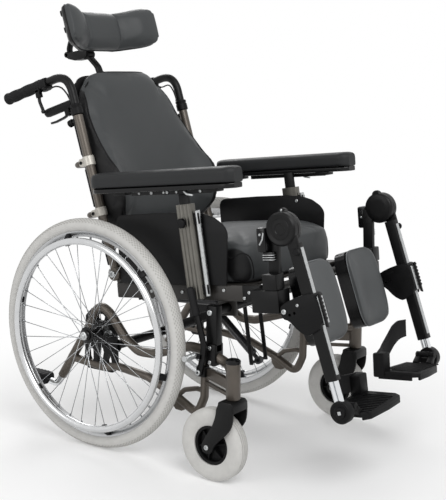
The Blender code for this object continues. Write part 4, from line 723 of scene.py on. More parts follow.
def castor_tyre():
    """Solid tyre with round shoulders and four fine grooves."""
    half = [(CASTOR_HUB_R + 0.0004, -0.0165), (0.054, -0.0186), (0.064, -0.0202), (0.074, -0.0208)]
    half += [(0.0815, -0.0196), (0.0868, -0.0168), (0.0894, -0.013)]
    profile = list(half)
    for middle in (-0.0096, -0.0032, 0.0032, 0.0096):
        top = CASTOR_R - 0.0008 * abs(middle) / 0.0096
        profile += [(top, middle - 0.0017), (top - 0.0028, middle - 0.0009)]
        profile += [(top - 0.0028, middle + 0.0009), (top, middle + 0.0017)]
    profile += flipped(half)
    return on_castor(lathed(profile, steps=96, ring=True))


def castor_hub():
    """Ribbed hub: outer ring, thin web, boss and six ribs on each face."""
    ring = [(0.041, -0.012), (0.0425, -0.0138), (0.0485, -0.0138), (CASTOR_HUB_R, -0.0128)]
    profile = ring + flipped(ring) + [(0.0402, 0.006), (0.0402, -0.006)]
    web = [(0.015, -0.0035), (0.041, -0.0025), (0.041, 0.0025), (0.015, 0.0035)]
    boss = [(0.0054, -0.025), (0.012, -0.025), (0.015, -0.0225)]
    boss += flipped(boss)
    rib = [(0.0135, -0.015), (0.0415, -0.0095)]
    rib = slab(rib + flipped(rib), -0.0016, 0.0016, 1, 0.0004)
    shapes = [lathed(outline, steps=64, ring=True) for outline in (profile, web, boss)]
    return on_castor(merged(*shapes, ring_of(rib, 6, "black_plastic", 0.3)))


def castor_fork():
    """Fork with curved arms under a rounded crown."""
    low, high = CASTOR_R * 2 + 0.004, HOUSING_Z[0] - 0.0005
    arm = [(CASTOR_Y - 0.018, high - 0.003), (CASTOR_Y - 0.021, 0.172), (CASTOR_Y - 0.012, 0.142)]
    arm += [(WHEEL_Y - 0.019, 0.098), (WHEEL_Y - 0.014, 0.076), (WHEEL_Y + 0.012, 0.074)]
    arm += [(WHEEL_Y + 0.018, 0.092), (WHEEL_Y + 0.008, 0.112)]
    arm += [(CASTOR_Y + 0.032, 0.16), (CASTOR_Y + 0.026, high - 0.003)]
    arm = smooth_outline(arm, 2)
    crown = [(CASTOR_Y - 0.022, low), (CASTOR_Y + 0.027, low), (CASTOR_Y + 0.024, high - 0.004)]
    crown += [(CASTOR_Y + 0.018, high), (CASTOR_Y - 0.014, high), (CASTOR_Y - 0.021, high - 0.006)]
    shapes = [slab(crown, CASTOR_X - 0.031, CASTOR_X + 0.031, 0, 0.003)]
    shapes.append(rod((CASTOR_X, CASTOR_Y, low + 0.002), (CASTOR_X, CASTOR_Y, HOUSING_Z[1] - 0.013), 0.0085))
    for side in (-1, 1):
        x = CASTOR_X + side * 0.029
        shapes.append(slab(arm, x - 0.003, x + 0.003, 0, 0.0014))
        shapes.append(disc((x + side * 0.002, WHEEL_Y, CASTOR_R), (1, 0, 0), 0.0105, 0.002))
    return merged(*shapes)


def castor_bolt():
    """Through bolt with its cap head and nut."""
    shaft = rod((CASTOR_X - 0.03, WHEEL_Y, CASTOR_R), (CASTOR_X + 0.03, WHEEL_Y, CASTOR_R), 0.005)
    ends = [((CASTOR_X + side * 0.0332, WHEEL_Y, CASTOR_R), (side, 0, 0), 0.0062) for side in (-1, 1)]
    return merged(shaft, socket_screws(ends))


def castor_cap():
    """Push-in cap on the housing."""
    top = HOUSING_Z[1]
    profile = [(0.0, top - 0.0001), (0.01, top - 0.0004), (0.015, top - 0.002), (0.0178, top - 0.005)]
    profile += [(0.0182, top - 0.008), (0.0178, top - 0.012), (0.0, top - 0.012)]
    return lathed(profile, (CASTOR_X, CASTOR_Y, 0), (0, 0, 1), 40)


# Chassis

FRAME_X, TUBE_R, RAIL_R = 0.235, 0.0125, 0.011
PLATE_IN, PLATE_OUT = 0.226, 0.24


def cut(mesh, cutters):
    """The mesh with the cutters taken away."""
    base = scratch(mesh)
    tools = bpy.data.collections.new("cutters")
    for cutter in cutters:
        tools.objects.link(bpy.data.objects.new("cutter", cutter))
    step = base.modifiers.new("cut", "BOOLEAN")
    step.operation, step.solver = "DIFFERENCE", "EXACT"
    step.operand_type, step.collection = "COLLECTION", tools
    result = applied(base)
    for tool in list(tools.objects):
        bpy.data.objects.remove(tool)
    bpy.data.collections.remove(tools)
    work = bmesh.new()
    work.from_mesh(result)
    return mesh_of(work)


UPPER_TUBE = [(0.168, 0.151), (0.052, 0.322), (0.036, 0.356), (0.013, 0.366), (-0.012, 0.352), (-0.066, 0.29)]
UPPER_TUBE += [(-0.11, 0.262), (-0.16, 0.264), (-0.279, 0.302), (-0.332, 0.3), (-0.396, 0.275)]
LOWER_RAIL = [(0.128, 0.21), (0.068, 0.204), (0.006, 0.2006), (-0.034, 0.21), (-0.14, 0.199), (-0.235, 0.164)]
LOWER_RAIL += [(-0.302, 0.129), (-0.324, 0.178), (-0.3255, 0.24), (-0.3255, 0.3)]
BRAKE_Y, BRAKE_Z = -0.33, 0.25
BRAKE_X = (0.2618, 0.2684)
SPRING_A = (-0.33, 0.222)


def side_frame():
    """Bent tubes with their welds, the castor housing and its arms, and the tie-down bar."""
    eye = at(FRAME_X, [(-0.236, 0.164), (-0.262, 0.186), (-0.3, 0.196), (-0.326, 0.194)])
    upper = at(FRAME_X, UPPER_TUBE) + [(CASTOR_X, CASTOR_Y, 0.27)]
    shapes = [
        tube(upper, TUBE_R, 0.045, 24, 8),
        tube(at(FRAME_X, LOWER_RAIL), RAIL_R, 0.025, 24, 8),
        tube(eye, 0.0065, 0.02, 16, 6),
    ]
    start, end = Vector((FRAME_X, -0.325)), Vector((CASTOR_X, CASTOR_Y))
    across = Vector((start.y - end.y, end.x - start.x)).normalized()
    for low, high, half in ((0.2325, 0.2585, 0.0068), (0.2137, 0.2232, 0.0048)):
        corners = (start + across * half, end + across * half, end - across * half, start - across * half)
        shapes.append(slab([tuple(c) for c in corners], low, high, 2, 0.0024))
    low, high = HOUSING_Z
    housing = [(0.0, low), (HOUSING_R - 0.002, low), (HOUSING_R, low + 0.003), (HOUSING_R, high - 0.011)]
    housing += [(HOUSING_R - 0.001, high - 0.01), (0.0, high - 0.01)]
    shapes.append(lathed(housing, (CASTOR_X, CASTOR_Y, 0), (0, 0, 1), 40))
    for place in (LOWER_RAIL[0], LOWER_RAIL[-1]):
        shapes.append(disc((FRAME_X, *place), (1, 0, 0), RAIL_R + 0.0006, RAIL_R * 0.9, 0.004))
    hanger = smooth_outline([(-0.214, 0.178), (-0.268, 0.152), (-0.262, 0.128), (-0.224, 0.13)], 1)
    shapes.append(slab(hanger, FRAME_X - 0.003, FRAME_X + 0.003, 0, 0.001))
    return merged(*shapes)


def axle_plate():
    """Thick plate with its rows of axle holes, and the sleeve of the axle."""
    outline = [(-0.034, 0.2033), (-0.03, 0.345), (-0.016, 0.3585), (0.049, 0.3585), (0.072, 0.336)]
    outline += [(0.08, 0.203), (0.066, 0.1895), (-0.02, 0.1895)]
    holes = []
    for y, z in ((-0.014, 0.334), (0.052, 0.33), (0.058, 0.3), (0.0, 0.268), (0.052, 0.268)):
        holes.append(rod((0.21, y, z), (0.25, y, z), 0.0055, 16, 0.0001))
    windows = [
        [(-0.022, 0.208), (0.006, 0.208), (-0.012, 0.25)],
        [(0.016, 0.208), (0.034, 0.208), (0.03, 0.254), (0.006, 0.254)],
        [(0.046, 0.208), (0.066, 0.212), (0.068, 0.248), (0.046, 0.254)],
        [(0.006, 0.326), (0.034, 0.326), (0.034, 0.346), (0.0, 0.346)],
    ]
    slots = [slab(smooth_outline(window, 1), 0.21, 0.25, 0, 0) for window in windows]
    plate = slab(outline, PLATE_IN, PLATE_OUT, 0, 0.0016)
    sleeve = rod((PLATE_IN + 0.002, 0, AXLE_Z), (HUB_IN - 0.0004, 0, AXLE_Z), 0.013, 28, 0.0015)
    screws = [((PLATE_OUT + 0.0006, y, z), (1, 0, 0), 0.0062) for y, z in ((0.06, 0.3), (-0.018, 0.3))]
    return cut(plate, holes + slots), merged(sleeve, socket_screws(screws))


def brake_bracket():
    """Square block on the side frame with the lever's pin, and the pin's screw."""
    half = 0.0135
    block = brick((0.2375, BRAKE_Y - half, BRAKE_Z - half), (0.261, BRAKE_Y + half, BRAKE_Z + half), 0.003)
    pin = rod((0.256, BRAKE_Y, BRAKE_Z), (0.2705, BRAKE_Y, BRAKE_Z), 0.0038)
    return merged(block, pin), socket_screws([((0.2695, BRAKE_Y, BRAKE_Z), (1, 0, 0), 0.0072)])


def brake_lever():
    """Pressed lever, rounded along its length."""
    x_in, x_out = BRAKE_X
    path = [(BRAKE_Y, BRAKE_Z - 0.006), (-0.34, 0.285), (-0.345, 0.32), (-0.33, 0.372), (-0.318, 0.405)]
    shoulder = brick((x_in, -0.3415, 0.2835), (x_out, -0.3145, 0.297), 0.0012)
    return merged(bar(bent(path, 0.03), 0.016, x_in, x_out, 0.0016), shoulder)


def brake_shoe():
    """Ribbed bar that presses on the tyre."""
    start = BRAKE_X[0] + 0.002
    profile = [(0.0, start), (0.0068, start), (0.0078, start + 0.001)]
    for k in range(8):
        x = start + 0.004 + k * 0.0049
        profile += [(0.0079, x), (0.007, x + 0.001), (0.007, x + 0.002), (0.0079, x + 0.003)]
    profile += [(0.0078, 0.307), (0.0066, 0.308), (0.0, 0.308)]
    return lathed(profile, (0, -0.316, 0.29), (1, 0, 0), 28)


def brake_grip():
    """Moulded sleeve with a rounded tip."""
    middle = sum(BRAKE_X) / 2
    start, end = Vector((middle, -0.322, 0.392)), Vector((middle, -0.3015, 0.4612))
    way = (end - start).normalized()
    shares = [0.0, 0.03, 0.1, 0.5, 0.86, 0.94, 0.98, 1.0]
    sizes = [0.0085, 0.0098, 0.0104, 0.0094, 0.0104, 0.0092, 0.0066, 0.0025]
    work = [(size, share * (end - start).length) for size, share in zip(sizes, shares)]
    return lathed([(0.0, 0.0)] + work + [(0.0, (end - start).length)], start, way, 28)


def cross_frame():
    """Cross tubes, spine arms and the uprights with their clamps."""
    tube_y, tube_z = -0.02, 0.262
    clamp_y = (-0.3697, -0.3375)
    end = PLATE_IN - 0.0004
    _, pivot_y, pivot_z = PIVOT
    shapes = [rod((-end, tube_y, tube_z), (end, tube_y, tube_z), TUBE_R, 28)]
    shapes.append(rod((-0.225, pivot_y, pivot_z), (0.225, pivot_y, pivot_z), TUBE_R - 0.0002, 28))
    screws = []
    for _, side in SIDES:
        low, high = apart(side, 0.0315, 0.0365)
        spine = bent([(tube_y, tube_z), (-0.15, 0.318), (pivot_y, pivot_z)], 0.08, 8)
        shapes.append(bar(spine, 0.022, low, high, 0.0012))
        shapes.append(bar([(-0.305, 0.385), (SPRING_A[0], SPRING_A[1] - 0.006)], 0.011, low, high, 0.0012))
        low, high = apart(side, end - 0.005, end)
        shapes.append(disc(((low + high) / 2, tube_y, tube_z), (1, 0, 0), 0.0195, 0.0025))
        low, high = apart(side, 0.2225, 0.2475)
        shapes.append(brick((low, clamp_y[0], 0.3), (high, clamp_y[1], pivot_z + 0.017), 0.003))
        low, high = apart(side, 0.2175, 0.2525)
        shapes.append(brick((low, clamp_y[0], 0.2672), (high, clamp_y[1], 0.322), 0.003))
        for z in (0.276, 0.312):
            screws.append(((side * 0.2528, -0.3535, z), (side, 0, 0), 0.0052))
        screws.append(((side * 0.248, pivot_y - 0.001, pivot_z), (side, 0, 0), 0.0072))
    shapes.append(rod((-0.036, *SPRING_A), (0.036, *SPRING_A), 0.004))
    return merged(*shapes), socket_screws(screws)


def tipping_tube():
    """Bright tube that goes on from the lower end of the side frame's upper tube."""
    end, before = UPPER_TUBE[:2]
    start = Vector((0, *end))
    way = (start - Vector((0, *before))).normalized()
    first = start + way * 0.0004
    path = at(FRAME_X, [(first.y, first.z), (0.187, 0.1235), (0.235, 0.129), (0.298, 0.132)])
    return tube(path, 0.0095, 0.02, 24, 8)


def tipping_pedal():
    """Ribbed rubber block round the tube's end."""

    def place(u, v, w):
        x, z = rounded(u, w, 5)
        slim = 1.0 - 0.14 * abs(v) ** 6
        rib = 0.0009 * math.cos(v * math.pi * 7) * (abs(w) > 0.9)
        return (FRAME_X + x * 0.0215 * slim, 0.265 + v * 0.045, 0.1325 + z * (0.016 * slim + rib))

    return grid_box((10, 44, 6), place)


# Seat

RAIL_X, RAIL_Z, RAIL_Y = (0.2, 0.222), (0.025, 0.065), (-0.135, 0.32)
SWING = (0.24, -0.188)
CUSHION_X, CUSHION_Y, CUSHION_Z = 0.214, (-0.1, 0.3), (0.0653, 0.185)
BACK_X = 0.225
SPRING_B, SPRING_C, SPRING_D = (0.22, 0.012), (0.05, 0.0), (0.02, -0.075)
RECLINE_X = 0.11
POST_X = (0.2325, 0.2525)


def both(low, high, ease):
    """A box on the left and its mirror on the right."""
    other = ((-high[0], low[1], low[2]), (-low[0], high[1], high[2]))
    return [brick(low, high, ease), brick(*other, ease)]


def seat_frame():
    """Rails, pan, cross bars, pivot lugs, hinge plates and legrest receivers."""
    (x0, x1), (z0, z1), (y0, y1) = RAIL_X, RAIL_Z, RAIL_Y
    pan = brick((-x0, CUSHION_Y[0], 0.0582), (x0, CUSHION_Y[1] - 0.004, z1 - 0.0001), 0.001)
    near, far, front = -RECLINE_X - 0.022, -RECLINE_X + 0.022, CUSHION_Y[1] - 0.04
    notch = [(near, front), (far, front), (far, 0.31), (near, 0.31)]
    shapes = [cut(pan, [slab(notch, 0.05, 0.07, 2, 0)])]
    screws = []
    for bar_y in (y0 + 0.015, y1 - 0.09):
        shapes.append(rod((-x0 - 0.004, bar_y, 0.045), (x0 + 0.004, bar_y, 0.045), 0.01, 24))
    shapes += both((x0, y0, z0), (x1, y1, z1), 0.003)
    receivers = both((x0 + 0.001, SWING[1] - 0.0185, 0.0045), (SWING[0] + 0.0135, -0.13, 0.0593), 0.003)
    receivers += both((x0 - 0.0006, y0 - 0.0006, z0 - 0.0006), (x1 + 0.0006, y0 + 0.052, z1 - 0.0002), 0.003)
    shapes += both((0.16, -0.022, -0.022), (0.172, 0.022, 0.06), 0.002)
    shapes += both((x0 + 0.002, 0.017, 0.0345), (POST_X[0] - 0.0004, 0.051, 0.0578), 0.0015)
    _, hinge_y, hinge_z = HINGE
    for _, side in SIDES:
        low, high = apart(side, 0.2032, BACK_X - TUBE_R - 0.0005)
        upright = [(hinge_y - 0.02, 0.04), (hinge_y - 0.019, hinge_z), (hinge_y - 0.01, hinge_z + 0.0155)]
        upright += [(hinge_y + 0.01, hinge_z + 0.0155), (hinge_y + 0.0175, hinge_z), (hinge_y + 0.005, 0.03)]
        shapes.append(slab(upright, low, high, 0, 0.0015))
        tip = side * (BACK_X + TUBE_R + 0.0012)
        shapes.append(rod((side * 0.205, hinge_y, hinge_z), (tip, hinge_y, hinge_z), 0.0058))
        screws.append(((tip, hinge_y, hinge_z), (side, 0, 0), 0.0092))
        for y, z in ((-0.105, 0.048), (-0.09, 0.034), (-0.03, 0.052), (0.1, 0.045), (0.2, 0.045)):
            screws.append(((side * (x1 + 0.001), y, z), (side, 0, 0), 0.0042))
    for x, (y, z) in ((0, SPRING_B), (-RECLINE_X, SPRING_C)):
        for offset in (-0.0185, 0.0185):
            ear = [(y - 0.014, 0.06), (y - 0.01, z - 0.006), (y + 0.01, z - 0.006), (y + 0.014, 0.06)]
            shapes.append(slab(ear, x + offset - 0.0025, x + offset + 0.0025, 0, 0.0008))
        shapes.append(rod((x - 0.019, y, z), (x + 0.019, y, z), 0.0038))
    return merged(*shapes), merged(*receivers), socket_screws(screws)


POST_TOP = 0.235


def armrest_post():
    """Extruded upright with four rounded grooves on its outer face and one behind."""
    x0, x1 = POST_X
    outline = [(x0 + 0.002, -0.0235), (x0, -0.0215), (x0, 0.0215), (x0 + 0.002, 0.0235)]
    outline += [(x1 - 0.002, 0.0235), (x1, 0.0215)]
    for k in range(4):
        y = 0.0175 - k * 0.0113
        outline += [(x1, y), (x1 - 0.0004, y - 0.0005), (x1 - 0.0017, y - 0.0018), (x1 - 0.002, y - 0.0028)]
        outline += [(x1 - 0.0017, y - 0.0038), (x1 - 0.0004, y - 0.0051), (x1, y - 0.0056)]
    outline += [(x1, -0.0215), (x1 - 0.002, -0.0235)]
    return slab(outline, 0.0, POST_TOP, 2, 0)


def post_guide():
    """Bright guide rod on the post's front edge, between two black clips."""
    guide_y = -0.0345
    rail = rod((0.2425, guide_y, 0.005), (0.2425, guide_y, POST_TOP - 0.018), 0.0066, 24)
    clips = [
        brick((0.2365, guide_y - 0.006, z0), (0.2485, -0.0236, z1), 0.0015)
        for z0, z1 in ((0.01, 0.034), (POST_TOP - 0.052, POST_TOP - 0.024))
    ]
    return rail, merged(*clips)


PAD_X, PAD_WIDE, PAD_Y, PAD_Z, TRAY_Z = 0.272, 0.0686, (-0.134, 0.313), (0.318, 0.3565), (0.3045, 0.3176)


def armrest_carrier():
    """Tongue in the post, in the post's frame, with the flange and its blocks under the tray."""
    x0, x1 = POST_X
    low = TRAY_Z[0] - 0.0006
    top = low - POST_FOOT[2] + 0.006
    tongue = brick((x0 + 0.005, -0.0146, POST_TOP - 0.12), (x1 - 0.006, 0.0146, top), 0.0015)
    rail = [brick((0.264, -0.05, low - 0.0095), (0.269, 0.2, low + 0.004), 0.0012)]
    for y in (-0.07, 0.215):
        rail.append(brick((0.244, y, low - 0.007), (0.276, y + 0.04, low + 0.004), 0.002))
    rows = [(0.174, 0.003), (0.134, 0.0038), (0.095, 0.003)]
    rows += [(0.084, 0.0036), (0.055, 0.003), (-0.018, 0.0034)]
    screws = [((0.2695, y, low - 0.004), (1, 0, 0), radius) for y, radius in rows]
    latch = bar([(0.03, low - 0.002), (0.022, low - 0.01), (0.004, low - 0.013)], 0.0045, 0.27, 0.274, 0.0008)
    to_post = Matrix.Rotation(-POST_LEAN, 4, "X") @ Matrix.Translation((0, -POST_FOOT[1], -POST_FOOT[2]))
    return merged(tongue, moved(merged(*rail), to_post)), moved(merged(socket_screws(screws), latch), to_post)


def pad_shape(low, high, grow, dome):
    """The arm pad's outline, straight-sided with round ends, between two heights."""
    middle, half = sum(PAD_Y) / 2, (PAD_Y[1] - PAD_Y[0]) / 2 + grow

    def place(u, v, w):
        end = max(0.0, abs(v) - 0.86) / 0.14
        wide = math.sqrt(max(0.0, 1 - 0.74 * end**2.4))
        a, c = rounded(u, w, 6)
        x = PAD_X + a * (PAD_WIDE / 2 + grow) * wide
        top = high - dome * (a**4 * 0.6 + end**3 * 0.5)
        return (x, middle + v * half, low + (top - low) * (c + 1) / 2)

    return grid_box((18, 72, 10), place)


def armrest_knob():
    """Star knob with eight lobes on its screw."""
    y, z, base = 0.004, 0.19, POST_X[1] + 0.004
    screw = rod((POST_X[1] + 0.0004, y, z), (base + 0.004, y, z), 0.0034)
    rows = [(0.0066, 0, 0), (0.0118, 0.0015, 0.7), (0.0128, 0.0035, 1), (0.0128, 0.0085, 1)]
    rows += [(0.0115, 0.0108, 0.8), (0.0085, 0.0118, 0), (0.0, 0.0115, 0)]
    work = bmesh.new()
    steps, rings = 64, []
    for radius, height, depth in rows:
        ring = []
        for k in range(steps):
            angle = 2 * math.pi * k / steps
            reach = radius * (1 - 0.07 * depth * (0.5 + 0.5 * math.cos(8 * angle)))
            across, up = reach * math.cos(angle), reach * math.sin(angle)
            ring.append(work.verts.new((base + height, y + across, z + up)))
        rings.append(ring)
    return merged(screw, skin(work, rings, (0,)))


PANEL_CORNERS = [(-0.046, 0.0655), (-0.06, 0.198), (-0.048, 0.215), (-0.024, 0.2315), (0.01, 0.2425)]
PANEL_CORNERS += [(0.06, 0.2465), (0.16, 0.2465), (0.2945, 0.2425), (0.2945, 0.0655)]


def panel_outline(inset):
    """The guard's outline with its upper corners rounded, as (y, z) pairs moved in by the inset."""
    path = filleted(at(0, PANEL_CORNERS), 0.026, 8)
    centre = Vector((0, 0.12, 0.15))
    out = []
    for point in path:
        moved_in = point + (centre - point).normalized() * inset
        out.append((moved_in.y, moved_in.z))
    return out


def side_panel():
    """Stiff padded guard, rounded at its upper corners."""
    return slab(panel_outline(0.0), 0.2277, POST_X[0] - 0.0005, 0, 0.0016)


def panel_binding():
    """Thin welt sewn round the panel's edge."""
    path = [Vector((POST_X[0] - 0.0018, y, z)) for y, z in panel_outline(0.0017)]
    return swept(path, circle(0.0014, 8))


def panel_screw():
    """Bright screw that holds the guard to the armrest post, seen on its inner face."""
    return socket_screws([((0.2278, 0.026, 0.23), (-1, 0, 0), 0.0046)])


def panel_cap():
    """Plain round cap on the panel's outer face."""
    profile = [(0.0, 0.0008), (0.0078, 0.0007), (0.0086, 0.0001), (0.0088, -0.0008), (0.0, -0.0008)]
    return lathed(profile, (POST_X[0] - 0.0004, 0.06, 0.16), (1, 0, 0), 48)


# Back

HANDLE_Z, HANDLE_R, GRIP_Y = 0.5425, 0.0115, (0.1025, 0.243)
LEVER = (BACK_X + 0.0195, 0.102, HANDLE_Z - 0.03)
RELEASE_PIVOT = (0.03, 0.442)
MAST_Y, SHELL_REAR, BAR_R = 0.085, 0.044, 0.008
LINK, HEAD_HINGE = (0, 0.1155, 0.6345), (0.115, 0.704)
COLLAR_Z = 0.4304
BAR_Y = SHELL_REAR + 0.0003 + BAR_R


def back_frame():
    """Upright tubes with hinge eyes and cross bars, and the black recline arm."""
    shapes = []
    for _, side in SIDES:
        x = side * BACK_X
        shapes.append(rod((x, 0, -0.004), (x, 0, 0.4298), TUBE_R, 28))
        shapes.append(disc((x, 0, 0), (1, 0, 0), 0.0186, TUBE_R, 0.002))
    x = BACK_X
    for z in (0.1675, 0.305):
        path = [(-x, 0, z), (-x, BAR_Y, z), (x, BAR_Y, z), (x, 0, z)]
        shapes.append(tube(path, BAR_R, 0.02, 16, 6))
    arm_x = -RECLINE_X
    arm_y, arm_z, half = 0.02, 0.022, 0.0165
    path = [(-x, 0, 0.03), (-x + 0.02, arm_y, arm_z), (arm_x - half, arm_y, arm_z)]
    arms = [tube(path, 0.009, 0.02, 16, 6)]
    for offset in (-half, half):
        low = arm_x + offset - 0.0025
        arm = [(0.008, 0.034), (SPRING_D[0] - 0.011, SPRING_D[1] - 0.009)]
        arm += [(SPRING_D[0] + 0.011, SPRING_D[1] - 0.009), (0.032, 0.034)]
        arms.append(slab(arm, low, low + 0.005, 0, 0.001))
    arms.append(rod((arm_x - 0.018, arm_y, arm_z), (arm_x + 0.018, arm_y, arm_z), 0.009))
    arms.append(rod((arm_x - 0.018, *SPRING_D), (arm_x + 0.018, *SPRING_D), 0.0038))
    return merged(*shapes), merged(*arms)


def tube_guard():
    """Black strip that holds the cover's edge behind the back tube, in three lengths between clamps."""
    x0, x1, y0, y1 = BACK_X - 0.007, BACK_X + 0.007, TUBE_R - 0.0015, TUBE_R + 0.0045
    lengths = ((0.026, 0.15), (0.184, 0.286), (0.324, 0.424))
    return merged(*[brick((x0, y0, low), (x1, y1, high), 0.0015) for low, high in lengths])


def lever_cable():
    """Thin cable in its sheath, from the lever's clamp in a low arch to the collar on the back tube."""
    points = [(LEVER[0] - 0.004, 0.074, HANDLE_Z - 0.02), (LEVER[0] - 0.006, 0.06, HANDLE_Z - 0.0225)]
    points += [(BACK_X + 0.012, 0.042, HANDLE_Z - 0.021), (BACK_X + 0.006, 0.027, HANDLE_Z - 0.03)]
    points += [(BACK_X + 0.002, 0.0175, HANDLE_Z - 0.052), (BACK_X, 0.014, 0.472), (BACK_X, 0.014, 0.458)]
    ferrule = rod((BACK_X, 0.014, 0.458), (BACK_X, 0.014, 0.467), 0.0034, 16)
    return merged(tube(points, 0.0022, 0.03, 10, 5), ferrule)


def mast_holder():
    """Socket block of the headrest's stem, with its clamp screw."""
    hole = slab(oblong(0.0123, 0.0053, 0.001), 0.28, 0.44, 2, 0)
    hole.transform(Matrix.Translation((0, MAST_Y, 0)))
    block = brick((-0.03, 0.05, 0.289), (0.03, MAST_Y + 0.012, 0.321), 0.003)
    tower = brick((-0.022, MAST_Y - 0.012, 0.3), (0.022, MAST_Y + 0.012, 0.42), 0.003)
    screw = socket_screws([((0, MAST_Y + 0.012, 0.395), (0, 1, 0), 0.0065)])
    return merged(cut(block, [hole.copy()]), cut(tower, [hole])), screw


def tube_clamps():
    """Two cast clamps round each back tube, with their ears and screws."""
    shapes, screws = [], []
    for _, side in SIDES:
        x = side * BACK_X
        for low, high in ((0.156, 0.179), (0.292, 0.318)):
            middle = (low + high) / 2
            shapes.append(disc((x, 0, middle), (0, 0, 1), TUBE_R + 0.003, (high - low) / 2, 0.0015))
            ear_low, ear_high = apart(side, BACK_X - 0.0095, BACK_X + 0.0095)
            ear = [(0.002, low + 0.002), (0.0255, low + 0.002), (0.0295, low + 0.007), (0.0295, high - 0.007)]
            ear += [(0.0255, high - 0.002), (0.002, high - 0.002)]
            shapes.append(slab(ear, ear_low, ear_high, 0, 0.0016))
            screws.append(((side * (BACK_X + 0.0098), 0.0215, middle), (side, 0, 0), 0.0046))
    return merged(*shapes), socket_screws(screws)


def push_handle():
    """Bent handle tube above the back tube, without its collar and clamp."""
    path = [(BACK_X, 0, 0.4306), (BACK_X, 0, HANDLE_Z), (BACK_X, GRIP_Y[1] - 0.004, HANDLE_Z)]
    return tube(path, HANDLE_R, 0.075, 24, 16)


def handle_fittings(right):
    """Collar, lever clamp with its clevis and, on the right, the lower grip with its hanger."""
    z1 = HANDLE_Z
    collar = [(0.0, COLLAR_Z), (0.015, COLLAR_Z), (0.0164, 0.4318), (0.0164, 0.448), (0.0148, 0.45)]
    collar += [(0.0148, 0.452), (0.016, 0.454), (0.016, 0.458), (0.0135, 0.46), (0.0, 0.46)]
    shapes = [lathed(collar, (BACK_X, 0, 0), (0, 0, 1), 36)]

    def clamp(u, v, w):
        a, b = rounded(u, w, 3)
        size = 1 - 0.1 * abs(v) ** 6
        return (BACK_X + 0.001 + a * 0.0148 * size, 0.089 + v * 0.0128, z1 - 0.004 + b * 0.0178 * size)

    shapes.append(grid_box((8, 10, 8), clamp))
    x, y, z = LEVER
    shapes.append(brick((BACK_X + 0.01, 0.0942, z1 - 0.0222), (x + 0.0064, 0.1098, z1 - 0.012), 0.002))
    for side in (-1, 1):
        low, high = apart(side, 0.004, 0.0064, x)
        shapes.append(brick((low, 0.0947, z - 0.0058), (high, 0.1093, z1 - 0.014), 0.001))
    shapes.append(rod((x - 0.005, y, z), (x + 0.005, y, z), 0.002, 12))
    barrel = [(0.0, 0.0), (0.0045, 0.0), (0.0052, 0.001), (0.0052, 0.009), (0.004, 0.0105)]
    barrel += [(0.0034, 0.016), (0.0, 0.016)]
    shapes.append(lathed(barrel, (x - 0.004, 0.088, z1 - 0.0165), (0, -0.97, -0.24), 16))
    if right:
        profile = [(0.0, 0.006), (0.011, 0.006), (0.0118, 0.012), (0.012, 0.1)]
        profile += [(0.0106, 0.108), (0.007, 0.1118), (0.0, 0.112)]
        shapes.append(lathed(profile, (BACK_X, 0, 0.464), (0, 1, 0), 32))
        y, z = RELEASE_PIVOT
        for side in (-1, 1):
            low, high = apart(side, 0.0056, 0.0079, BACK_X)
            shapes.append(brick((low, y - 0.0078, z - 0.0058), (high, y + 0.0078, 0.457), 0.0008))
        shapes.append(rod((BACK_X - 0.006, y, z), (BACK_X + 0.006, y, z), 0.002, 12))
    return merged(*shapes)


def push_grip():
    """Moulded grip with fine ribs between two smooth finger grooves and a domed end."""
    low, high = GRIP_Y
    profile = [(0.0119, low), (0.0135, low), (0.0155, low + 0.002)]
    profile += [(0.0158, low + 0.004), (0.015, low + 0.006)]
    y = low + 0.01
    while y < high - 0.014:
        wave = 0.0007 * math.cos((y - low) / 0.052 * 2 * math.pi)
        for step, dip in ((0.0, 0.0), (0.001, 0.0), (0.0014, 0.0006), (0.0022, 0.0006), (0.0026, 0.0)):
            profile.append((0.0153 + wave - dip, y + step))
        y += 0.0036
    profile += [(0.016, high - 0.01), (0.0165, high - 0.0065), (0.0158, high - 0.0028)]
    profile += [(0.0135, high - 0.0008), (0.008, high), (0.0, high)]
    profile += [(0.0, high - 0.0032), (0.0119, high - 0.0032)]
    return lathed(profile, (BACK_X, 0, HANDLE_Z), (0, 1, 0), 40, ring=True)


def hand_lever():
    """Short lever with an eye and a ball end."""
    x, y, z = LEVER
    path = [(y, z), (y + 0.0035, z - 0.01), (y + 0.0035, z - 0.018)]
    path += [(y + 0.0005, z - 0.032), (y - 0.001, z - 0.04)]
    lever = bar(bent(path, 0.02), 0.0076, x - 0.0034, x + 0.0034, 0.0014)
    eye = disc((x, y, z), (1, 0, 0), 0.0058, 0.0034)
    ball = [(0.0, -0.006), (0.003, -0.0056), (0.0052, -0.0036)]
    ball += [(0.0062, 0.0)] + flipped(ball)
    return merged(lever, eye, lathed(ball, (x, y - 0.001, z - 0.044), (0, 0, 1), 20))


def release_lever():
    """Flat lever under the lower grip, with its eye."""
    y, z = RELEASE_PIVOT
    path = [(y, z), (y + 0.018, z - 0.006), (y + 0.05, z - 0.0085), (y + 0.07, z - 0.0075)]
    lever = bar(bent(path, 0.03), 0.0058, BACK_X - 0.0044, BACK_X + 0.0044, 0.0012)
    return merged(lever, disc((BACK_X, y, z), (1, 0, 0), 0.0054, 0.0048))


def release_knob():
    """Round adjuster under the lower grip, with its screw into the tube."""
    screw = rod((BACK_X, 0.012, 0.418), (BACK_X, 0.026, 0.416), 0.0032, 12)
    profile = [(0.0, 0.0), (0.008, 0.0), (0.0098, 0.002)]
    for k in range(5):
        profile += [(0.01, 0.003 + k * 0.002), (0.0092, 0.0038 + k * 0.002), (0.0092, 0.0044 + k * 0.002)]
    profile += [(0.0098, 0.0135), (0.007, 0.0155), (0.0, 0.016)]
    return screw, lathed(profile, (BACK_X, 0.022, 0.4165), (0, 0.99, -0.14), 24)


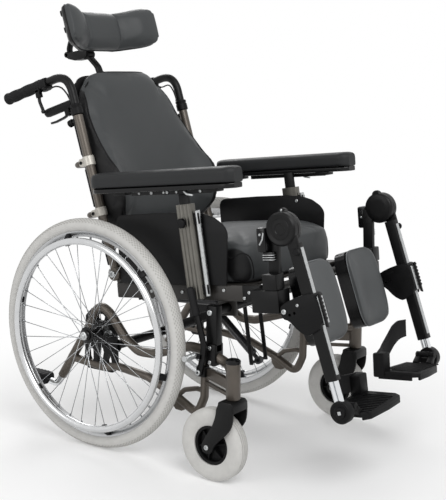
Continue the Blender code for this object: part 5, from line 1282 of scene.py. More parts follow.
def headrest_mast():
    """Flat stem, cranked link with its clamp discs, cupped plate and the arm up to the pad's hinge."""
    strap = oblong(0.0112, 0.0052, 0.003)
    cup = [(0.101, 0.648), (0.19, 0.66), (0.1905, 0.652), (0.178, 0.64), (0.156, 0.629)]
    cup += [(0.13, 0.6245), (0.109, 0.6265)]
    arm = [(0.0, 0.18, 0.654), (0.0, 0.1795, 0.67), (0.0, 0.16, 0.696), (0.0, 0.128, 0.704)]
    shapes = [
        brick((-0.0118, MAST_Y - 0.0048, 0.3162), (0.0118, MAST_Y + 0.0048, 0.5748), 0.0012),
        swept(filleted([(0, MAST_Y, 0.56), (0, 0.088, 0.59), LINK], 0.03, 6), strap),
        disc(LINK, (1, 0, 0), 0.0149, 0.0118, 0.002),
        slab(cup, -0.0165, 0.0165, 0, 0.002),
        disc((0, 0.183, 0.6545), (1, 0, 0), 0.0085, 0.0165, 0.002),
        swept(filleted(arm, 0.04, 8), oblong(0.01, 0.0044, 0.003)),
        brick((-0.0049, 0.112, 0.6952), (0.0049, 0.1328, 0.7128), 0.0012),
        disc((0, *HEAD_HINGE), (1, 0, 0), 0.0099, 0.0049),
    ]
    return merged(*shapes)


def headrest_knob():
    """Clamp knob on the link, fluted round its edge."""
    profile = [(0.0, 0.0), (0.01, 0.0), (0.0118, 0.0015), (0.0118, 0.0095), (0.01, 0.0115), (0.0, 0.0118)]
    return lathed(profile, (0.0092, *LINK[1:]), (1, 0, 0), 12)


def headrest_clevis():
    """Hinge plate behind the pad with its pin, and the knobs that hold the wings' angle."""
    shapes = [brick((-0.03, 0.0875, 0.682), (0.03, 0.0985, 0.726), 0.003)]
    for z in (0.72, 0.674):
        for _, side in SIDES:
            way = Vector((side * 0.55, 0.835, 0)).normalized()
            start = Vector((side * 0.15, 0.022, z))
            shapes.append(rod(start, start + way * 0.011, 0.0034, 12))
            shapes.append(rod(start + way * 0.007, start + way * 0.016, 0.0082, 20))
    for side in (-1, 1):
        low, high = apart(side, 0.0055, 0.0094)
        ear = [(0.0965, 0.6932), (0.1195, 0.6952), (0.1238, 0.704), (0.1195, 0.7128), (0.0965, 0.7148)]
        shapes.append(slab(smooth_outline(ear, 1), low, high, 0, 0.0008))
    shapes.append(rod((-0.008, *HEAD_HINGE), (0.008, *HEAD_HINGE), 0.0029, 16))
    return merged(*shapes)


def back_shell():
    """Thin moulded shell with a raised border and three pressed channels."""

    def place(u, v, w):
        a, b = rounded(u, w, 8)
        x = a * (0.1995 - 0.03 * max(0, w - 0.4) ** 2 / 0.36)
        y = SHELL_REAR - 0.0022 + 0.0021 * v
        if v > 0.5:
            channel = max(0.0, math.cos(u * math.pi * 3) - 0.75) * 4
            y -= 0.0012 * channel * (abs(w) < 0.8)
        return (x, y, 0.335 + b * 0.2145)

    return grid_box((60, 2, 40), place)


# Soft pieces

COVER_PRESSURE, COVER_FRAMES = 4.0, 20


def stuffed(mesh, voxel, cap, keep=None):
    """The mesh swelled by a short cloth simulation, no point moving further than the cap.

    keep brings a point and its new place back to where the piece may go.
    """
    obj = scratch(mesh)
    even = obj.modifiers.new("even", "REMESH")
    even.mode, even.voxel_size, even.use_smooth_shade = "VOXEL", voxel, True
    mesh = applied(obj)
    obj = scratch(mesh)
    cloth = obj.modifiers.new("cover", "CLOTH")
    cloth.settings.use_pressure = True
    cloth.settings.uniform_pressure_force = COVER_PRESSURE
    cloth.settings.effector_weights.gravity = 0.0
    cloth.point_cache.frame_start, cloth.point_cache.frame_end = 1, COVER_FRAMES
    for number in range(1, COVER_FRAMES + 1):
        bpy.context.scene.frame_set(number)
    swelled = applied(obj)
    bpy.context.scene.frame_set(1)
    for vert, new in zip(mesh.vertices, swelled.vertices):
        step = new.co - vert.co
        if step.length > cap:
            step = step.normalized() * cap
        vert.co = vert.co + step
    if keep:
        for vert in mesh.vertices:
            vert.co = keep(vert.co)
    return subdivided(mesh)


def with_panel(mesh, past_seam):
    """The mesh with a panel attribute from past_seam(place), in metres."""
    made = mesh.attributes.new("panel", "FLOAT", "POINT")
    made.data.foreach_set("value", np.array([past_seam(v.co) for v in mesh.vertices], np.float32))
    return mesh


def welt(mesh, sights, radius, closed):
    """A round welt laid on the mesh where each sight, a (from, towards) pair, first meets it."""
    tree = BVHTree.FromPolygons([v.co for v in mesh.vertices], [p.vertices for p in mesh.polygons])
    path = []
    for start, aim in sights:
        place = tree.ray_cast(Vector(start), (Vector(aim) - Vector(start)).normalized())[0]
        if place is not None:
            path.append(place)
    for _ in range(2):
        ends = (path[-1], path[0]) if closed else (path[0], path[-1])
        before, after = [ends[0]] + path[:-1], path[1:] + [ends[1]]
        path = [(a + b * 2 + c) / 4 for a, b, c in zip(before, path, after)]
    return swept(path, circle(radius, 8), closed)


def square_edge(count):
    """Points round the square from -1 to 1."""
    steps = [2 * k / count - 1 for k in range(count)]
    sides = [(1.0, t) for t in steps] + [(-t, 1.0) for t in steps]
    return sides + [(-1.0, -t) for t in steps] + [(t, -1.0) for t in steps]


SEAT_BULGE = 0.008


def seat_seam(y, z):
    """How far out the cushion's side seam lies: near the edge on top, turning in down the front."""
    low = min(1.0, max(0.0, (CUSHION_Z[1] - z) / 0.095))
    near = min(1.0, max(0.0, (CUSHION_Y[0] + 0.07 - y) / 0.07))
    return CUSHION_X - 0.008 - 0.027 * math.sin(low * math.pi / 2) * near


def seat_welt(mesh):
    """Welts along both upper edges of the cushion and down its front."""
    sides = []
    front, middle = CUSHION_Y[0], sum(CUSHION_Z) / 2
    turn = (front + 0.05, middle)
    for _, side in SIDES:
        steps = 40
        sights = []
        for k in range(steps):
            y = CUSHION_Y[1] - 0.02 + (turn[0] - CUSHION_Y[1] + 0.02) * k / steps
            x = side * seat_seam(y, CUSHION_Z[1])
            sights.append(((x, y, 0.4), (x, y, 0.0)))
        for k in range(13):
            angle = math.radians(90 + 90 * k / 12)
            way = Vector((0, math.cos(angle), math.sin(angle)))
            x = side * seat_seam(turn[0] + way.y * 0.056, turn[1] + way.z * 0.066)
            sights.append((Vector((x, *turn)) + way * 0.3, (x, *turn)))
        for k in range(1, 10):
            z = middle - (middle - CUSHION_Z[0] - 0.008) * k / 9
            x = side * seat_seam(front, z)
            sights.append(((x, front - 0.3, z), (x, 0, z)))
        sides.append(welt(mesh, sights, 0.0018, False))
    return merged(*sides)


def seat_cushion():
    """Cushion with a domed top, a round front edge and flat sides."""
    middle = sum(CUSHION_Y) / 2
    half = (CUSHION_Y[1] - CUSHION_Y[0]) / 2 - 0.003
    low, high = CUSHION_Z[0] + 0.001, CUSHION_Z[1] + 0.002

    def place(u, v, w):
        a, b = rounded(u, v, 9)
        inset = 1 - 0.022 * max(0, abs(w) - 0.55) / 0.45
        x = a * (CUSHION_X - 0.004) * inset
        y = middle + b * half * inset - SEAT_BULGE * max(0.0, -b) ** 6
        crown = 0.008 * (1 - u * u) * (1 - v * v)
        front = 0.016 * max(0.0, -v - 0.45) ** 2 / 0.3
        top = high - 0.01 + crown - front - 0.005 * abs(u) ** 8 - 0.006 * max(0, v) ** 8
        return (x, y, low + (top - low) * (w + 1) / 2)

    def keep(p):
        x = max(-CUSHION_X, min(CUSHION_X, p.x))
        y = max(CUSHION_Y[0] - SEAT_BULGE, min(CUSHION_Y[1] - 0.0005, p.y))
        return Vector((x, y, max(CUSHION_Z[0] + 0.0003, p.z)))

    mesh = stuffed(grid_box((36, 36, 12), place), 0.006, 0.005, keep)
    return with_panel(mesh, lambda p: abs(p.x) - seat_seam(p.y, p.z))


BACK_MIDDLE, BACK_TALL, LUMBAR_Z = 0.33, 0.219, 0.23


def back_surface(u, w, slim):
    """Half width, height and the front and rear of the back cushion, as in the frame."""
    shoulder = max(0.0, w - 0.15) / 0.85
    a, b = rounded(u, w, 5 if w > 0 else 9)
    z = BACK_MIDDLE + b * (0.23 - slim)
    low = min(1.0, max(0.0, (0.43 - z) / 0.1))
    half = 0.2115 - slim - 0.038 * shoulder**1.6 + 0.0055 * low
    reach = 0.09 if z > LUMBAR_Z else 0.125
    swell = 0.022 * low + 0.062 * math.exp(-(((z - LUMBAR_Z) / reach) ** 2))
    bolster = abs(u) ** 3 * swell
    crown = 0.006 * (1 - u * u) * (1 - w * w)
    round_off = 0.022 * abs(w) ** 10 + 0.012 * abs(u) ** 14 + 0.016 * abs(u) ** 4 * shoulder
    front = -0.016 + slim - bolster - crown + round_off
    return a * half, z, front, 0.0388 - 0.006 * max(abs(u), abs(w)) ** 10


def back_cushion():
    """Back cushion with deep side bolsters and rounded shoulders."""

    def place(u, v, w):
        x, z, front, rear = back_surface(u, w, 0.003)
        return (x * (1 - 0.02 * (1 - v) / 2), front + (rear - front) * (v + 1) / 2, z)

    def keep(p):
        return Vector((max(-0.2185, min(0.2185, p.x)), min(0.039, p.y), p.z))

    mesh = stuffed(grid_box((44, 10, 48), place), 0.006, 0.005, keep)
    for vert in mesh.vertices:
        if vert.co.y < 0.02:
            vert.co.y += 0.003 * math.exp(-(((vert.co.z - 0.215) / 0.005) ** 2))
    return with_panel(mesh, back_side)


def seam_half(z):
    """Half width of the back cushion's front cover at a height."""
    return 0.202 - 0.0475 * max(0.0, (z - 0.3) / 0.26) ** 1.5


def back_side(p):
    """Distance past the seam between the front cover and the black sides, in metres."""
    across, up = abs(p.x) / seam_half(p.z), abs(p.z - BACK_MIDDLE) / BACK_TALL
    return 0.2 * ((across**7 + up**7) ** (1 / 7) - 1)


def back_welt(mesh):
    """Welt round the back cushion's front cover."""
    sights = []
    for u, w in square_edge(44):
        a, b = rounded(u, w, 7)
        z = BACK_MIDDLE + b * BACK_TALL
        x = a * seam_half(z)
        sights.append(((x, -0.5, z), (x, 0.0, z)))
    return welt(mesh, sights, 0.0019, True)


HEAD_MIDDLE, HEAD_WIDE, HEAD_TALL, HEAD_SEAM = 0.685, 0.176, 0.058, 0.072


def wing_lean(x):
    """How far forward the headrest's wing has come at a place across it."""
    return 0.66 * max(0.0, abs(x) - 0.07)


def headrest_welt(mesh):
    """Welt round the pad where its cover meets the black back panel."""
    sights = []
    for u, w in square_edge(30):
        a, b = rounded(u, w, 8)
        x, z = a * HEAD_WIDE, HEAD_MIDDLE + b * HEAD_TALL
        way = Vector((u**7, 0, w**7)).normalized()
        place = Vector((x, HEAD_SEAM - wing_lean(x), z))
        sights.append((place + way * 0.06, place - way * 0.03))
    return welt(mesh, sights, 0.0021, True)


def headrest_pad():
    """Winged pad: two creases where the wings leave the middle, and a soft edge."""

    def place(u, v, w):
        a, b = rounded(u, w, 8)
        x, z = a * HEAD_WIDE, HEAD_MIDDLE + b * HEAD_TALL
        edge = max(abs(u), abs(w)) ** 8
        puff = 0.006 * (1 - w * w) + 0.006 * math.exp(-(((abs(x) - 0.13) / 0.028) ** 2)) * (1 - w**4)
        front = 0.0395 - wing_lean(x) - puff + 0.014 * edge
        rear = 0.09 - wing_lean(x) - 0.012 * edge
        return (x, front + (rear - front) * (v + 1) / 2, z)

    mesh = stuffed(grid_box((44, 8, 18), place), 0.005, 0.005)
    for vert in mesh.vertices:
        x, y, z = vert.co
        if y < 0.06 - wing_lean(x):
            vert.co.y += 0.004 * math.exp(-(((abs(x) - 0.066) / 0.0055) ** 2))
    return with_panel(mesh, lambda p: p.y + wing_lean(p.x) - HEAD_SEAM)


CALF_END, CALF_SPLIT, CALF_X, CALF_Z = 0.18, 0.03, 0.11, -0.188


def calf_point(u, v, w, grow, front_in, rear_in):
    """A point of the calf pad, hollowed across its front. front_in and rear_in cut it back."""
    a, b = rounded(u, w, 5)
    edge = max(abs(u), abs(w)) ** 8
    hollow = 0.01 * abs(u) ** 2
    front = 0.0262 - hollow - 0.004 * (1 - w * w) + 0.009 * edge + front_in
    rear = 0.068 - hollow * 0.5 - 0.003 * edge - rear_in
    y = front + (rear - front) * (v + 1) / 2
    return (CALF_X + a * (CALF_END - CALF_X - 0.0005 + grow), y, CALF_Z + b * (0.0995 + grow))


def calf_shape(front_in, rear_in, counts=(26, 8, 34)):
    return grid_box(counts, lambda u, v, w: calf_point(u, v, w, 0.0, front_in, rear_in))


def calf_piping():
    """Pale welt between the calf pad's cover and its shell. Its pale grey is a painted highlight along the
    shell's edge.
    """
    path = [Vector(calf_point(u, 1.0, w, 0.0004, 0.0, CALF_SPLIT)) for u, w in square_edge(24)]
    return swept(path, circle(0.0011, 8), closed=True)


# Legrests

PLATE_NEAR = 0.052
SWING_TOP = 0.0598
KNEE_Y, KNEE_Z = KNEE[1:]
KNEE_R, KNEE_HALF = 0.04, 0.0175
LEG_X, LEG_HALF_X, LEG_HALF_Y, LEG_END = 0.2405, 0.0125, 0.015, -0.3655


def knee_disc(low, high, centre, outward, plain=False):
    """Half of the knee joint: a round housing, stepped with a raised rim or plainly domed."""
    deep = high - low
    if plain:
        profile = [(0.0, 0.0), (KNEE_R - 0.0015, 0.0), (KNEE_R, 0.0015), (KNEE_R, deep - 0.006)]
        profile += [(KNEE_R - 0.0014, deep - 0.003), (KNEE_R - 0.005, deep - 0.0008)]
        profile += [(KNEE_R * 0.5, deep), (0.0, deep)]
    else:
        profile = [(0.0, 0.0), (KNEE_R - 0.0015, 0.0), (KNEE_R, 0.0015), (KNEE_R, deep - 0.004)]
        profile += [(KNEE_R - 0.0035, deep - 0.0004), (KNEE_R - 0.006, deep)]
        profile += [(KNEE_R - 0.0085, deep - 0.0012), (KNEE_R - 0.015, deep - 0.0016)]
        profile += [(KNEE_R - 0.0165, deep - 0.0004), (0.014, deep - 0.0002)]
        profile += [(0.013, deep - 0.0014), (0.0, deep - 0.0014)]
    return lathed(profile, (low if outward > 0 else high, *centre), (outward, 0, 0), 64)


def legrest_hanger():
    """Pin, block and post with the inner half of the knee joint."""
    x, y = SWING
    inner, outer = LEG_X - KNEE_HALF, LEG_X - 0.00015
    top = ((inner + outer) / 2, KNEE_Y + 0.004, KNEE_Z + KNEE_R - 0.006)
    post = [(y - 0.0155, 0.09), (y - 0.0215, 0.2), (y + 0.006, 0.2), (y + 0.0125, 0.09)]
    shapes = [
        rod((x, y, 0.0082), (x, y, SWING_TOP + 0.01), 0.0096),
        brick((x - 0.0198, y - 0.0188, SWING_TOP), (x + 0.0178, y + 0.0208, 0.0978), 0.003),
        slab(post, inner + 0.001, outer - 0.001, 0, 0.002),
        knee_disc(inner, outer, (KNEE_Y, KNEE_Z), -1, plain=True),
        disc(top, (1, 0, 0), 0.0135, (outer - inner) / 2 - 0.002, 0.003),
    ]
    return merged(*shapes)


def hanger_latch():
    """Release latch behind the knee: a housing, a bright lever in it and a ribbed catch below."""
    y = SWING[1]
    shapes = [brick((LEG_X - 0.012, y + 0.0012, 0.15), (LEG_X + 0.0195, y + 0.0262, 0.208), 0.005)]
    shapes.append(brick((LEG_X - 0.002, y - 0.012, 0.128), (LEG_X + 0.0115, y + 0.016, 0.15), 0.002))
    shapes.append(disc((LEG_X + 0.0185, y + 0.014, 0.192), (1, 0, 0), 0.0095, 0.003, 0.0015))
    ribs = []
    for z in (0.131, 0.1365, 0.142):
        ribs.append(brick((LEG_X - 0.001, y - 0.0128, z), (LEG_X + 0.0128, y + 0.0168, z + 0.0016), 0.0006))
    lever = [(LEG_X + 0.02, y + 0.005, 0.196), (LEG_X + 0.0214, y + 0.008, 0.18)]
    lever.append((LEG_X + 0.0206, y + 0.017, 0.168))
    ribs.append(tube(lever, 0.0019, 0.01, 10, 5))
    screws = [((LEG_X + 0.0216, y + 0.014, 0.192), (1, 0, 0), 0.003)]
    screws.append(((LEG_X - 0.0016, KNEE_Y + 0.004, KNEE_Z + KNEE_R + 0.003), (1, 0, 0), 0.0028))
    screws.append(((LEG_X - 0.0122, y + 0.014, 0.18), (-1, 0, 0), 0.003))
    return merged(*shapes), merged(*ribs, socket_screws(screws))


def leg_tube():
    """Outer half of the knee joint with the leg's tube and its lower sleeve. In the leg frame."""
    x1 = LEG_X + LEG_HALF_X
    y0, y1 = LEG_Y - LEG_HALF_Y, LEG_Y + LEG_HALF_Y
    section = oblong(LEG_HALF_X - 0.0001, LEG_HALF_Y - 0.0001, 0.0045)
    heights = (-KNEE_R - 0.0012, -0.12, -0.2, -0.3, LEG_END + 0.002, LEG_END)
    path = [Vector((LEG_X, LEG_Y, z)) for z in heights]
    shapes = [
        knee_disc(LEG_X + 0.0002, LEG_X + KNEE_HALF, (0, 0), 1),
        swept(path, section),
        brick((LEG_X + 0.0004, y0 + 0.0002, -KNEE_R - 0.012), (x1 - 0.0002, y1 - 0.0002, -0.015), 0.003),
    ]
    return merged(*shapes)


def leg_knob():
    """Small round adjuster on the outside of the leg, under the knee."""
    start = LEG_X + LEG_HALF_X - 0.0002
    profile = [(0.0, 0.0), (0.0045, 0.0), (0.0045, 0.003), (0.0078, 0.0032), (0.0084, 0.0042)]
    profile += [(0.0084, 0.0092), (0.0076, 0.0104), (0.0, 0.0106)]
    return lathed(profile, (start, LEG_Y - 0.008, -KNEE_R - 0.02), (1, 0, 0), 28)


def leg_strip():
    """Bright extruded cover down the front of the tube."""
    y0 = LEG_Y - LEG_HALF_Y
    section = [(-0.0062, 0.0015), (-0.006, -0.001), (-0.004, -0.0021)]
    section += [(-across, up) for across, up in reversed(section)]
    path = [Vector((LEG_X, y0, z)) for z in (-KNEE_R - 0.0125, -0.15, -0.25, LEG_END + 0.0125)]
    work = bmesh.new()
    rings = [[work.verts.new((p.x + a, p.y + b, p.z)) for a, b in section] for p in path]
    return skin(work, rings)


def calf_bracket():
    """Moulded housing round the leg tube, with the arm to the calf pad."""
    x0, x1 = 0.2217, 0.2598
    front = LEG_Y - LEG_HALF_Y - 0.01
    outer = [(front, -0.2395), (front, -0.167), (front + 0.008, -0.1585), (0.002, -0.1585)]
    outer += [(0.046, -0.1665), (0.0595, -0.176), (0.0585, -0.201), (0.042, -0.209), (0.024, -0.238)]
    outer += [(0.006, -0.252), (-0.003, -0.252)]
    bore = oblong(LEG_HALF_X + 0.0004, LEG_HALF_Y + 0.0018, 0.003)
    cutters = [slab([(LEG_X + a, LEG_Y + b - 0.001) for a, b in bore], -0.3, -0.1, 2, 0)]
    for y, z in ((0.022, -0.194), (0.036, -0.1955)):
        cutters.append(rod((x0 - 0.01, y, z), (x1 + 0.01, y, z), 0.0036, 20, 0.0001))
    housing = cut(slab(smooth_outline(outer, 1), x0, x1, 0, 0.0022), cutters)
    arm = rod((CALF_END + 0.0004, 0.048, CALF_Z), (x0 + 0.006, 0.048, CALF_Z), 0.0078, 24)
    rib = [(0.004, -0.17), (0.04, -0.176), (0.044, -0.18), (0.006, -0.176)]
    ribs = [slab(rib, x0 - 0.0006, x0 + 0.002, 0, 0.0004)]
    return merged(housing, arm, *ribs)


def bracket_clip():
    """Bright cover plate and bolts of the housing, with the toothed finger clip in front."""
    front = LEG_Y - LEG_HALF_Y - 0.01
    z0, z1 = -0.234, -0.17
    cover = brick((LEG_X - 0.0115, front - 0.0018, z0), (LEG_X + 0.0115, front + 0.001, z1), 0.0008)
    screws = [((0.26, 0.048, -0.185), (1, 0, 0), 0.0062), ((0.26, 0.008, -0.178), (1, 0, 0), 0.0036)]
    outline = [(front - 0.0012, z0 - 0.006), (front - 0.0012, z1 + 0.006), (front - 0.006, z1 + 0.008)]
    teeth = 7
    for k in range(teeth):
        z = z1 + 0.002 - (z1 - z0) * k / teeth
        outline += [(front - 0.0092, z), (front - 0.0062, z - 0.0042)]
    outline.append((front - 0.0062, z0 - 0.01))
    clip = slab(outline, LEG_X + 0.002, LEG_X + 0.0095, 0, 0.0005)
    return merged(cover, socket_screws(screws)), clip


def foot_tube(drop):
    """Two bright telescopic tubes side by side."""
    places = [(LEG_X, LEG_Y + y) for y in (-0.0064, 0.0064)]
    return merged(*[rod((*place, drop + 0.012), (*place, -0.27), 0.0062, 24) for place in places])


FOOT_DISC_X, FOOT_HINGE = (0.229, 0.252), (0.2195, 0.01)


def foot_knuckle(drop):
    """Round adjuster with a stepped face and the hinge boss."""
    middle, half = sum(FOOT_DISC_X) / 2, (FOOT_DISC_X[1] - FOOT_DISC_X[0]) / 2
    profile = [(0.0, -half), (0.025, -half), (0.0268, -half + 0.002), (0.0268, half - 0.003)]
    profile += [(0.025, half - 0.0004), (0.021, half), (0.0195, half - 0.0014), (0.015, half - 0.0014)]
    profile += [(0.0135, half + 0.002), (0.0095, half + 0.0024)]
    profile += [(0.0085, half + 0.0012), (0.0, half + 0.0012)]
    knuckle = lathed(profile, (middle, LEG_Y, drop), (1, 0, 0), 48)
    x, z = FOOT_HINGE
    boss = disc((x, 0, z), (0, 1, 0), 0.0088, 0.0108)
    web = brick((x + 0.002, -0.0098, z - 0.008), (FOOT_DISC_X[0] + 0.003, 0.0098, z + 0.008), 0.0012)
    to_leg = Matrix.Translation((0, LEG_Y, drop)) @ Matrix.Rotation(FOOT_LEAN - LEG_LEAN, 4, "X")
    return merged(knuckle, moved(merged(boss, web), to_leg))


def knuckle_nut(drop):
    """Square bright end of the adjuster's shaft."""
    x = FOOT_DISC_X[1] + 0.001
    return slab([(LEG_Y + a, drop + b) for a, b in oblong(0.0042, 0.0042, 0.0008)], x, x + 0.0018, 0, 0.0004)


def footplate():
    """Ribbed plate with a turned-down rim, its heel block and hinge arms. In the foot frame."""
    x0, x1 = PLATE_NEAR, 0.2085
    outline = [(x0 + 0.012, -0.0575), (0.12, -0.0555), (x1 - 0.02, -0.0455), (x1, -0.028)]
    outline += [(x1, 0.052), (x0 + 0.01, 0.0615), (x0, 0.054), (x0, -0.04)]
    shapes = [slab(outline, -0.0118, 0.0, 2, 0.0022)]
    shapes.append(brick((x0 + 0.0002, -0.039, -0.0198), (x0 + 0.006, 0.053, -0.006), 0.001))
    lip = [(x0 + 0.012, -0.0575), (0.12, -0.0555), (x1 - 0.02, -0.0455), (x1 - 0.002, -0.029)]
    lip += [(x1 - 0.008, -0.0285), (x1 - 0.024, -0.039), (0.118, -0.0485), (x0 + 0.012, -0.0505)]
    shapes.append(slab(lip, -0.0192, -0.006, 2, 0.0025))
    for k in range(11):
        x = x0 + 0.026 + k * 0.0115
        back_end = 0.046 if k > 1 else 0.028
        shapes.append(brick((x, -0.046, -0.001), (x + 0.004, back_end, 0.002), 0.0008))
    shapes.append(brick((x0 - 0.0038, 0.0342, -0.0158), (x0 + 0.0338, 0.0658, 0.0458), 0.004))
    plate = moved(merged(*shapes), foot_roll())
    arms = []
    for y in (-0.019, 0.019):
        arms.append(disc((FOOT_HINGE[0], y, FOOT_HINGE[1]), (0, 1, 0), 0.0088, 0.007))
        arm = [(x1 - 0.016, -0.011), (x1 - 0.016, -0.003), (FOOT_HINGE[0], FOOT_HINGE[1] + 0.004)]
        arm += [(FOOT_HINGE[0], FOOT_HINGE[1] - 0.007), (x1 - 0.002, -0.015)]
        arms.append(slab(arm, y - 0.007, y + 0.007, 1, 0.0012))
    arms.append(rod((FOOT_HINGE[0], -0.0238, FOOT_HINGE[1]), (FOOT_HINGE[0], 0.0238, FOOT_HINGE[1]), 0.004))
    return merged(plate, *arms)


def foot_roll():
    """The plate's place under its hinge, its inner edge a little raised."""
    x, z = FOOT_HINGE
    lean = Matrix.Rotation(FOOT_ROLL, 4, "Y")
    return Matrix.Translation((x, 0, z)) @ lean @ Matrix.Translation((-x, 0, -0.01 - z))


def heel_band():
    """Curved band behind the heel, a little thicker along its edges."""
    x0 = PLATE_NEAR
    points = [(x0 + 0.012, 0.058, 0.003), (x0 + 0.06, 0.072, 0.006), (x0 + 0.092, 0.073, 0.022)]
    points += [(x0 + 0.118, 0.068, 0.048), (x0 + 0.136, 0.06, 0.064), (x0 + 0.15, 0.046, 0.07)]
    path = filleted(points, 0.05, 10)
    work = bmesh.new()
    rings = []
    profile = [(-0.5, 0.0), (-0.5, 0.08), (-0.34, 0.12), (-0.34, 0.88), (-0.5, 0.92), (-0.5, 1.0)]
    profile += [(-a, b) for a, b in reversed(profile)]
    for i, point in enumerate(path):
        ahead = path[min(i + 1, len(path) - 1)] - path[max(i - 1, 0)]
        side = Vector((-ahead.y, ahead.x, 0)).normalized() * 0.0048
        high = 0.044 + 0.01 * math.sin(math.pi * i / (len(path) - 1))
        rings.append([work.verts.new(point + side * a + Vector((0, 0, high * b))) for a, b in profile])
    return moved(skin(work, rings), foot_roll())


# Gas springs


def gas_spring(name, x, holder, start, other, end, share, reach):
    """Painted cylinder and plated rod between two eyes, placed by where the eyes are."""
    first = Vector((x, *start))
    last = holder.inverted() @ (other @ Vector((x, *end)))
    length = (last - first).length
    axis = holder @ turned_about(first, math.atan2(last.z - first.z, last.y - first.y))
    body = length * share
    shell = [(0.0, 0.0205), (0.0085, 0.0205), (0.0112, 0.024), (0.0113, body - 0.003)]
    shell += [(0.0106, body - 0.0012), (0.007, body - 0.0004), (0.0052, body - 0.0002), (0.0, body - 0.0002)]
    cylinder = [
        disc((0, 0, 0), (1, 0, 0), 0.0103, 0.0078),
        rod((0, 0.006, 0), (0, 0.022, 0), 0.0058),
        lathed(shell, (0, 0, 0), (0, 1, 0), 36),
    ]
    eye = [(0.0112, -0.0078), (0.014, -0.0078), (0.0152, -0.0066)]
    eye += flipped(eye)
    nut = [(0.0044, length - 0.03), (0.0062, length - 0.0295)]
    nut += [(0.0062, length - 0.015), (0.0044, length - 0.0145)]
    inner = [
        rod((0, body - reach, 0), (0, length - 0.012, 0), 0.0042, 24),
        lathed(eye, (0, length, 0), (1, 0, 0), 36, ring=True),
        lathed(nut, axis=(0, 1, 0), steps=6),
    ]
    for part, shapes, look in (("cylinder", cylinder, "spring_grey"), ("rod", inner, "chrome")):
        piece = f"{name}_{part}"
        finished(piece, merged(*shapes), look, piece, piece, axis, slot=look)


# The chair

MIDDLE_BODIES = ("chassis", "seat", "back")


def placed(name, side, place):
    """finished() for the pieces that one side has in one group.

    The side's name goes after the piece's, after its node's and after its body's, unless that
    carries both sides.
    """

    def put(piece, mesh, look, body, node=None, slotted=False, crisp=35):
        carrier = body if body in MIDDLE_BODIES else f"{body}_{name}"
        node = f"{node}_{name}" if node else None
        slot = look if slotted else None
        return finished(f"{piece}_{name}", mesh, look, carrier, node, place, side, crisp, slot)

    return put


def build_wheels(name, side):
    put = placed(name, side, CHAIR)
    put("rear_tyre", rear_tyre(), "tyre_grey", "rear_wheel", "rear_tyre", slotted=True)
    put("rear_tread", tread(), "tyre_lug", "rear_wheel")
    put("rear_rim", rear_rim(), "rim_silver", "rear_wheel", "rear_wheel", slotted=True)
    put("spokes", spokes(), "spoke_steel", "rear_wheel", crisp=0)
    put("spoke_nipples", nipples(), "spoke_steel", "rear_wheel")
    put("wheel_hub", hub(), "gloss_plastic", "rear_wheel")
    put("handrim", handrim(), "handrim_silver", "rear_wheel", "handrim", slotted=True)
    put("handrim_tabs", handrim_tabs(), "black_plastic", "rear_wheel")
    put("axle_pin", axle_button(), "zinc", "chassis", "rear_axle")
    put("castor_tyre", castor_tyre(), "tyre_grey", "castor_wheel", "castor_tyre")
    put("castor_hub", castor_hub(), "black_plastic", "castor_wheel", "castor_hub", slotted=True)
    put("castor_fork", castor_fork(), "black_metal", "castor_fork", "castor_fork", slotted=True)
    put("castor_bolt", castor_bolt(), "zinc", "castor_fork")
    put("castor_cap", castor_cap(), "gloss_plastic", "chassis")


def build_chassis(name, side):
    put = placed(name, side, CHAIR)
    put("side_frame", side_frame(), "frame_taupe", "chassis", "side_frame", slotted=True)
    plate, sleeve = axle_plate()
    put("axle_plate", plate, "black_metal", "chassis")
    put("axle_sleeve", sleeve, "zinc", "chassis")
    bracket, screw = brake_bracket()
    put("brake_bracket", bracket, "black_metal", "chassis")
    put("brake_bolt", screw, "zinc", "chassis")
    put("brake_lever", brake_lever(), "black_metal", "parking_brake", "parking_brake_lever")
    put("brake_shoe", brake_shoe(), "zinc", "parking_brake")
    put("brake_grip", brake_grip(), "grip_rubber", "parking_brake")


def build_seat(name, side):
    put, put_on_post = placed(name, side, SEAT), placed(name, side, POST)
    put("side_panel", side_panel(), "side_vinyl", "seat", "side_panel")
    put("panel_binding", panel_binding(), "piping", "seat", crisp=0)
    put("panel_cap", panel_cap(), "cap_grey", "seat")
    put("panel_screw", panel_screw(), "zinc", "seat")
    put_on_post("armrest_post", armrest_post(), "post_grey", "seat", "armrest_post", slotted=True, crisp=50)
    rail, clips = post_guide()
    put_on_post("post_guide", rail, "zinc", "seat")
    put_on_post("post_clips", clips, "black_plastic", "seat")
    carrier, screws = armrest_carrier()
    put_on_post("armrest_carrier", carrier, "black_metal", "armrest", "armrest_carrier")
    put_on_post("armrest_screws", screws, "zinc", "armrest")
    pad = pad_shape(*PAD_Z, 0.0, 0.009)
    put("armrest_pad", pad, "pad_vinyl", "armrest", "armrest_pad", slotted=True)
    put("armrest_tray", pad_shape(*TRAY_Z, -0.0022, 0.0), "gloss_plastic", "armrest")
    put_on_post("armrest_knob", armrest_knob(), "black_plastic", "armrest_knob", "armrest_knob")


def build_handles(name, side):
    put = placed(name, side, BACK)
    put("push_handle", push_handle(), "black_metal", "back", "push_handle")
    put("handle_fittings", handle_fittings(side < 0), "black_plastic", "back")
    put("push_grip", push_grip(), "grip_rubber", "back", "push_grip", slotted=True)
    put("tube_guard", tube_guard(), "side_vinyl", "back")
    put("lever_cable", lever_cable(), "cable_black", "back")
    put("hand_lever", hand_lever(), "gloss_plastic", "hand_lever", "hand_lever")


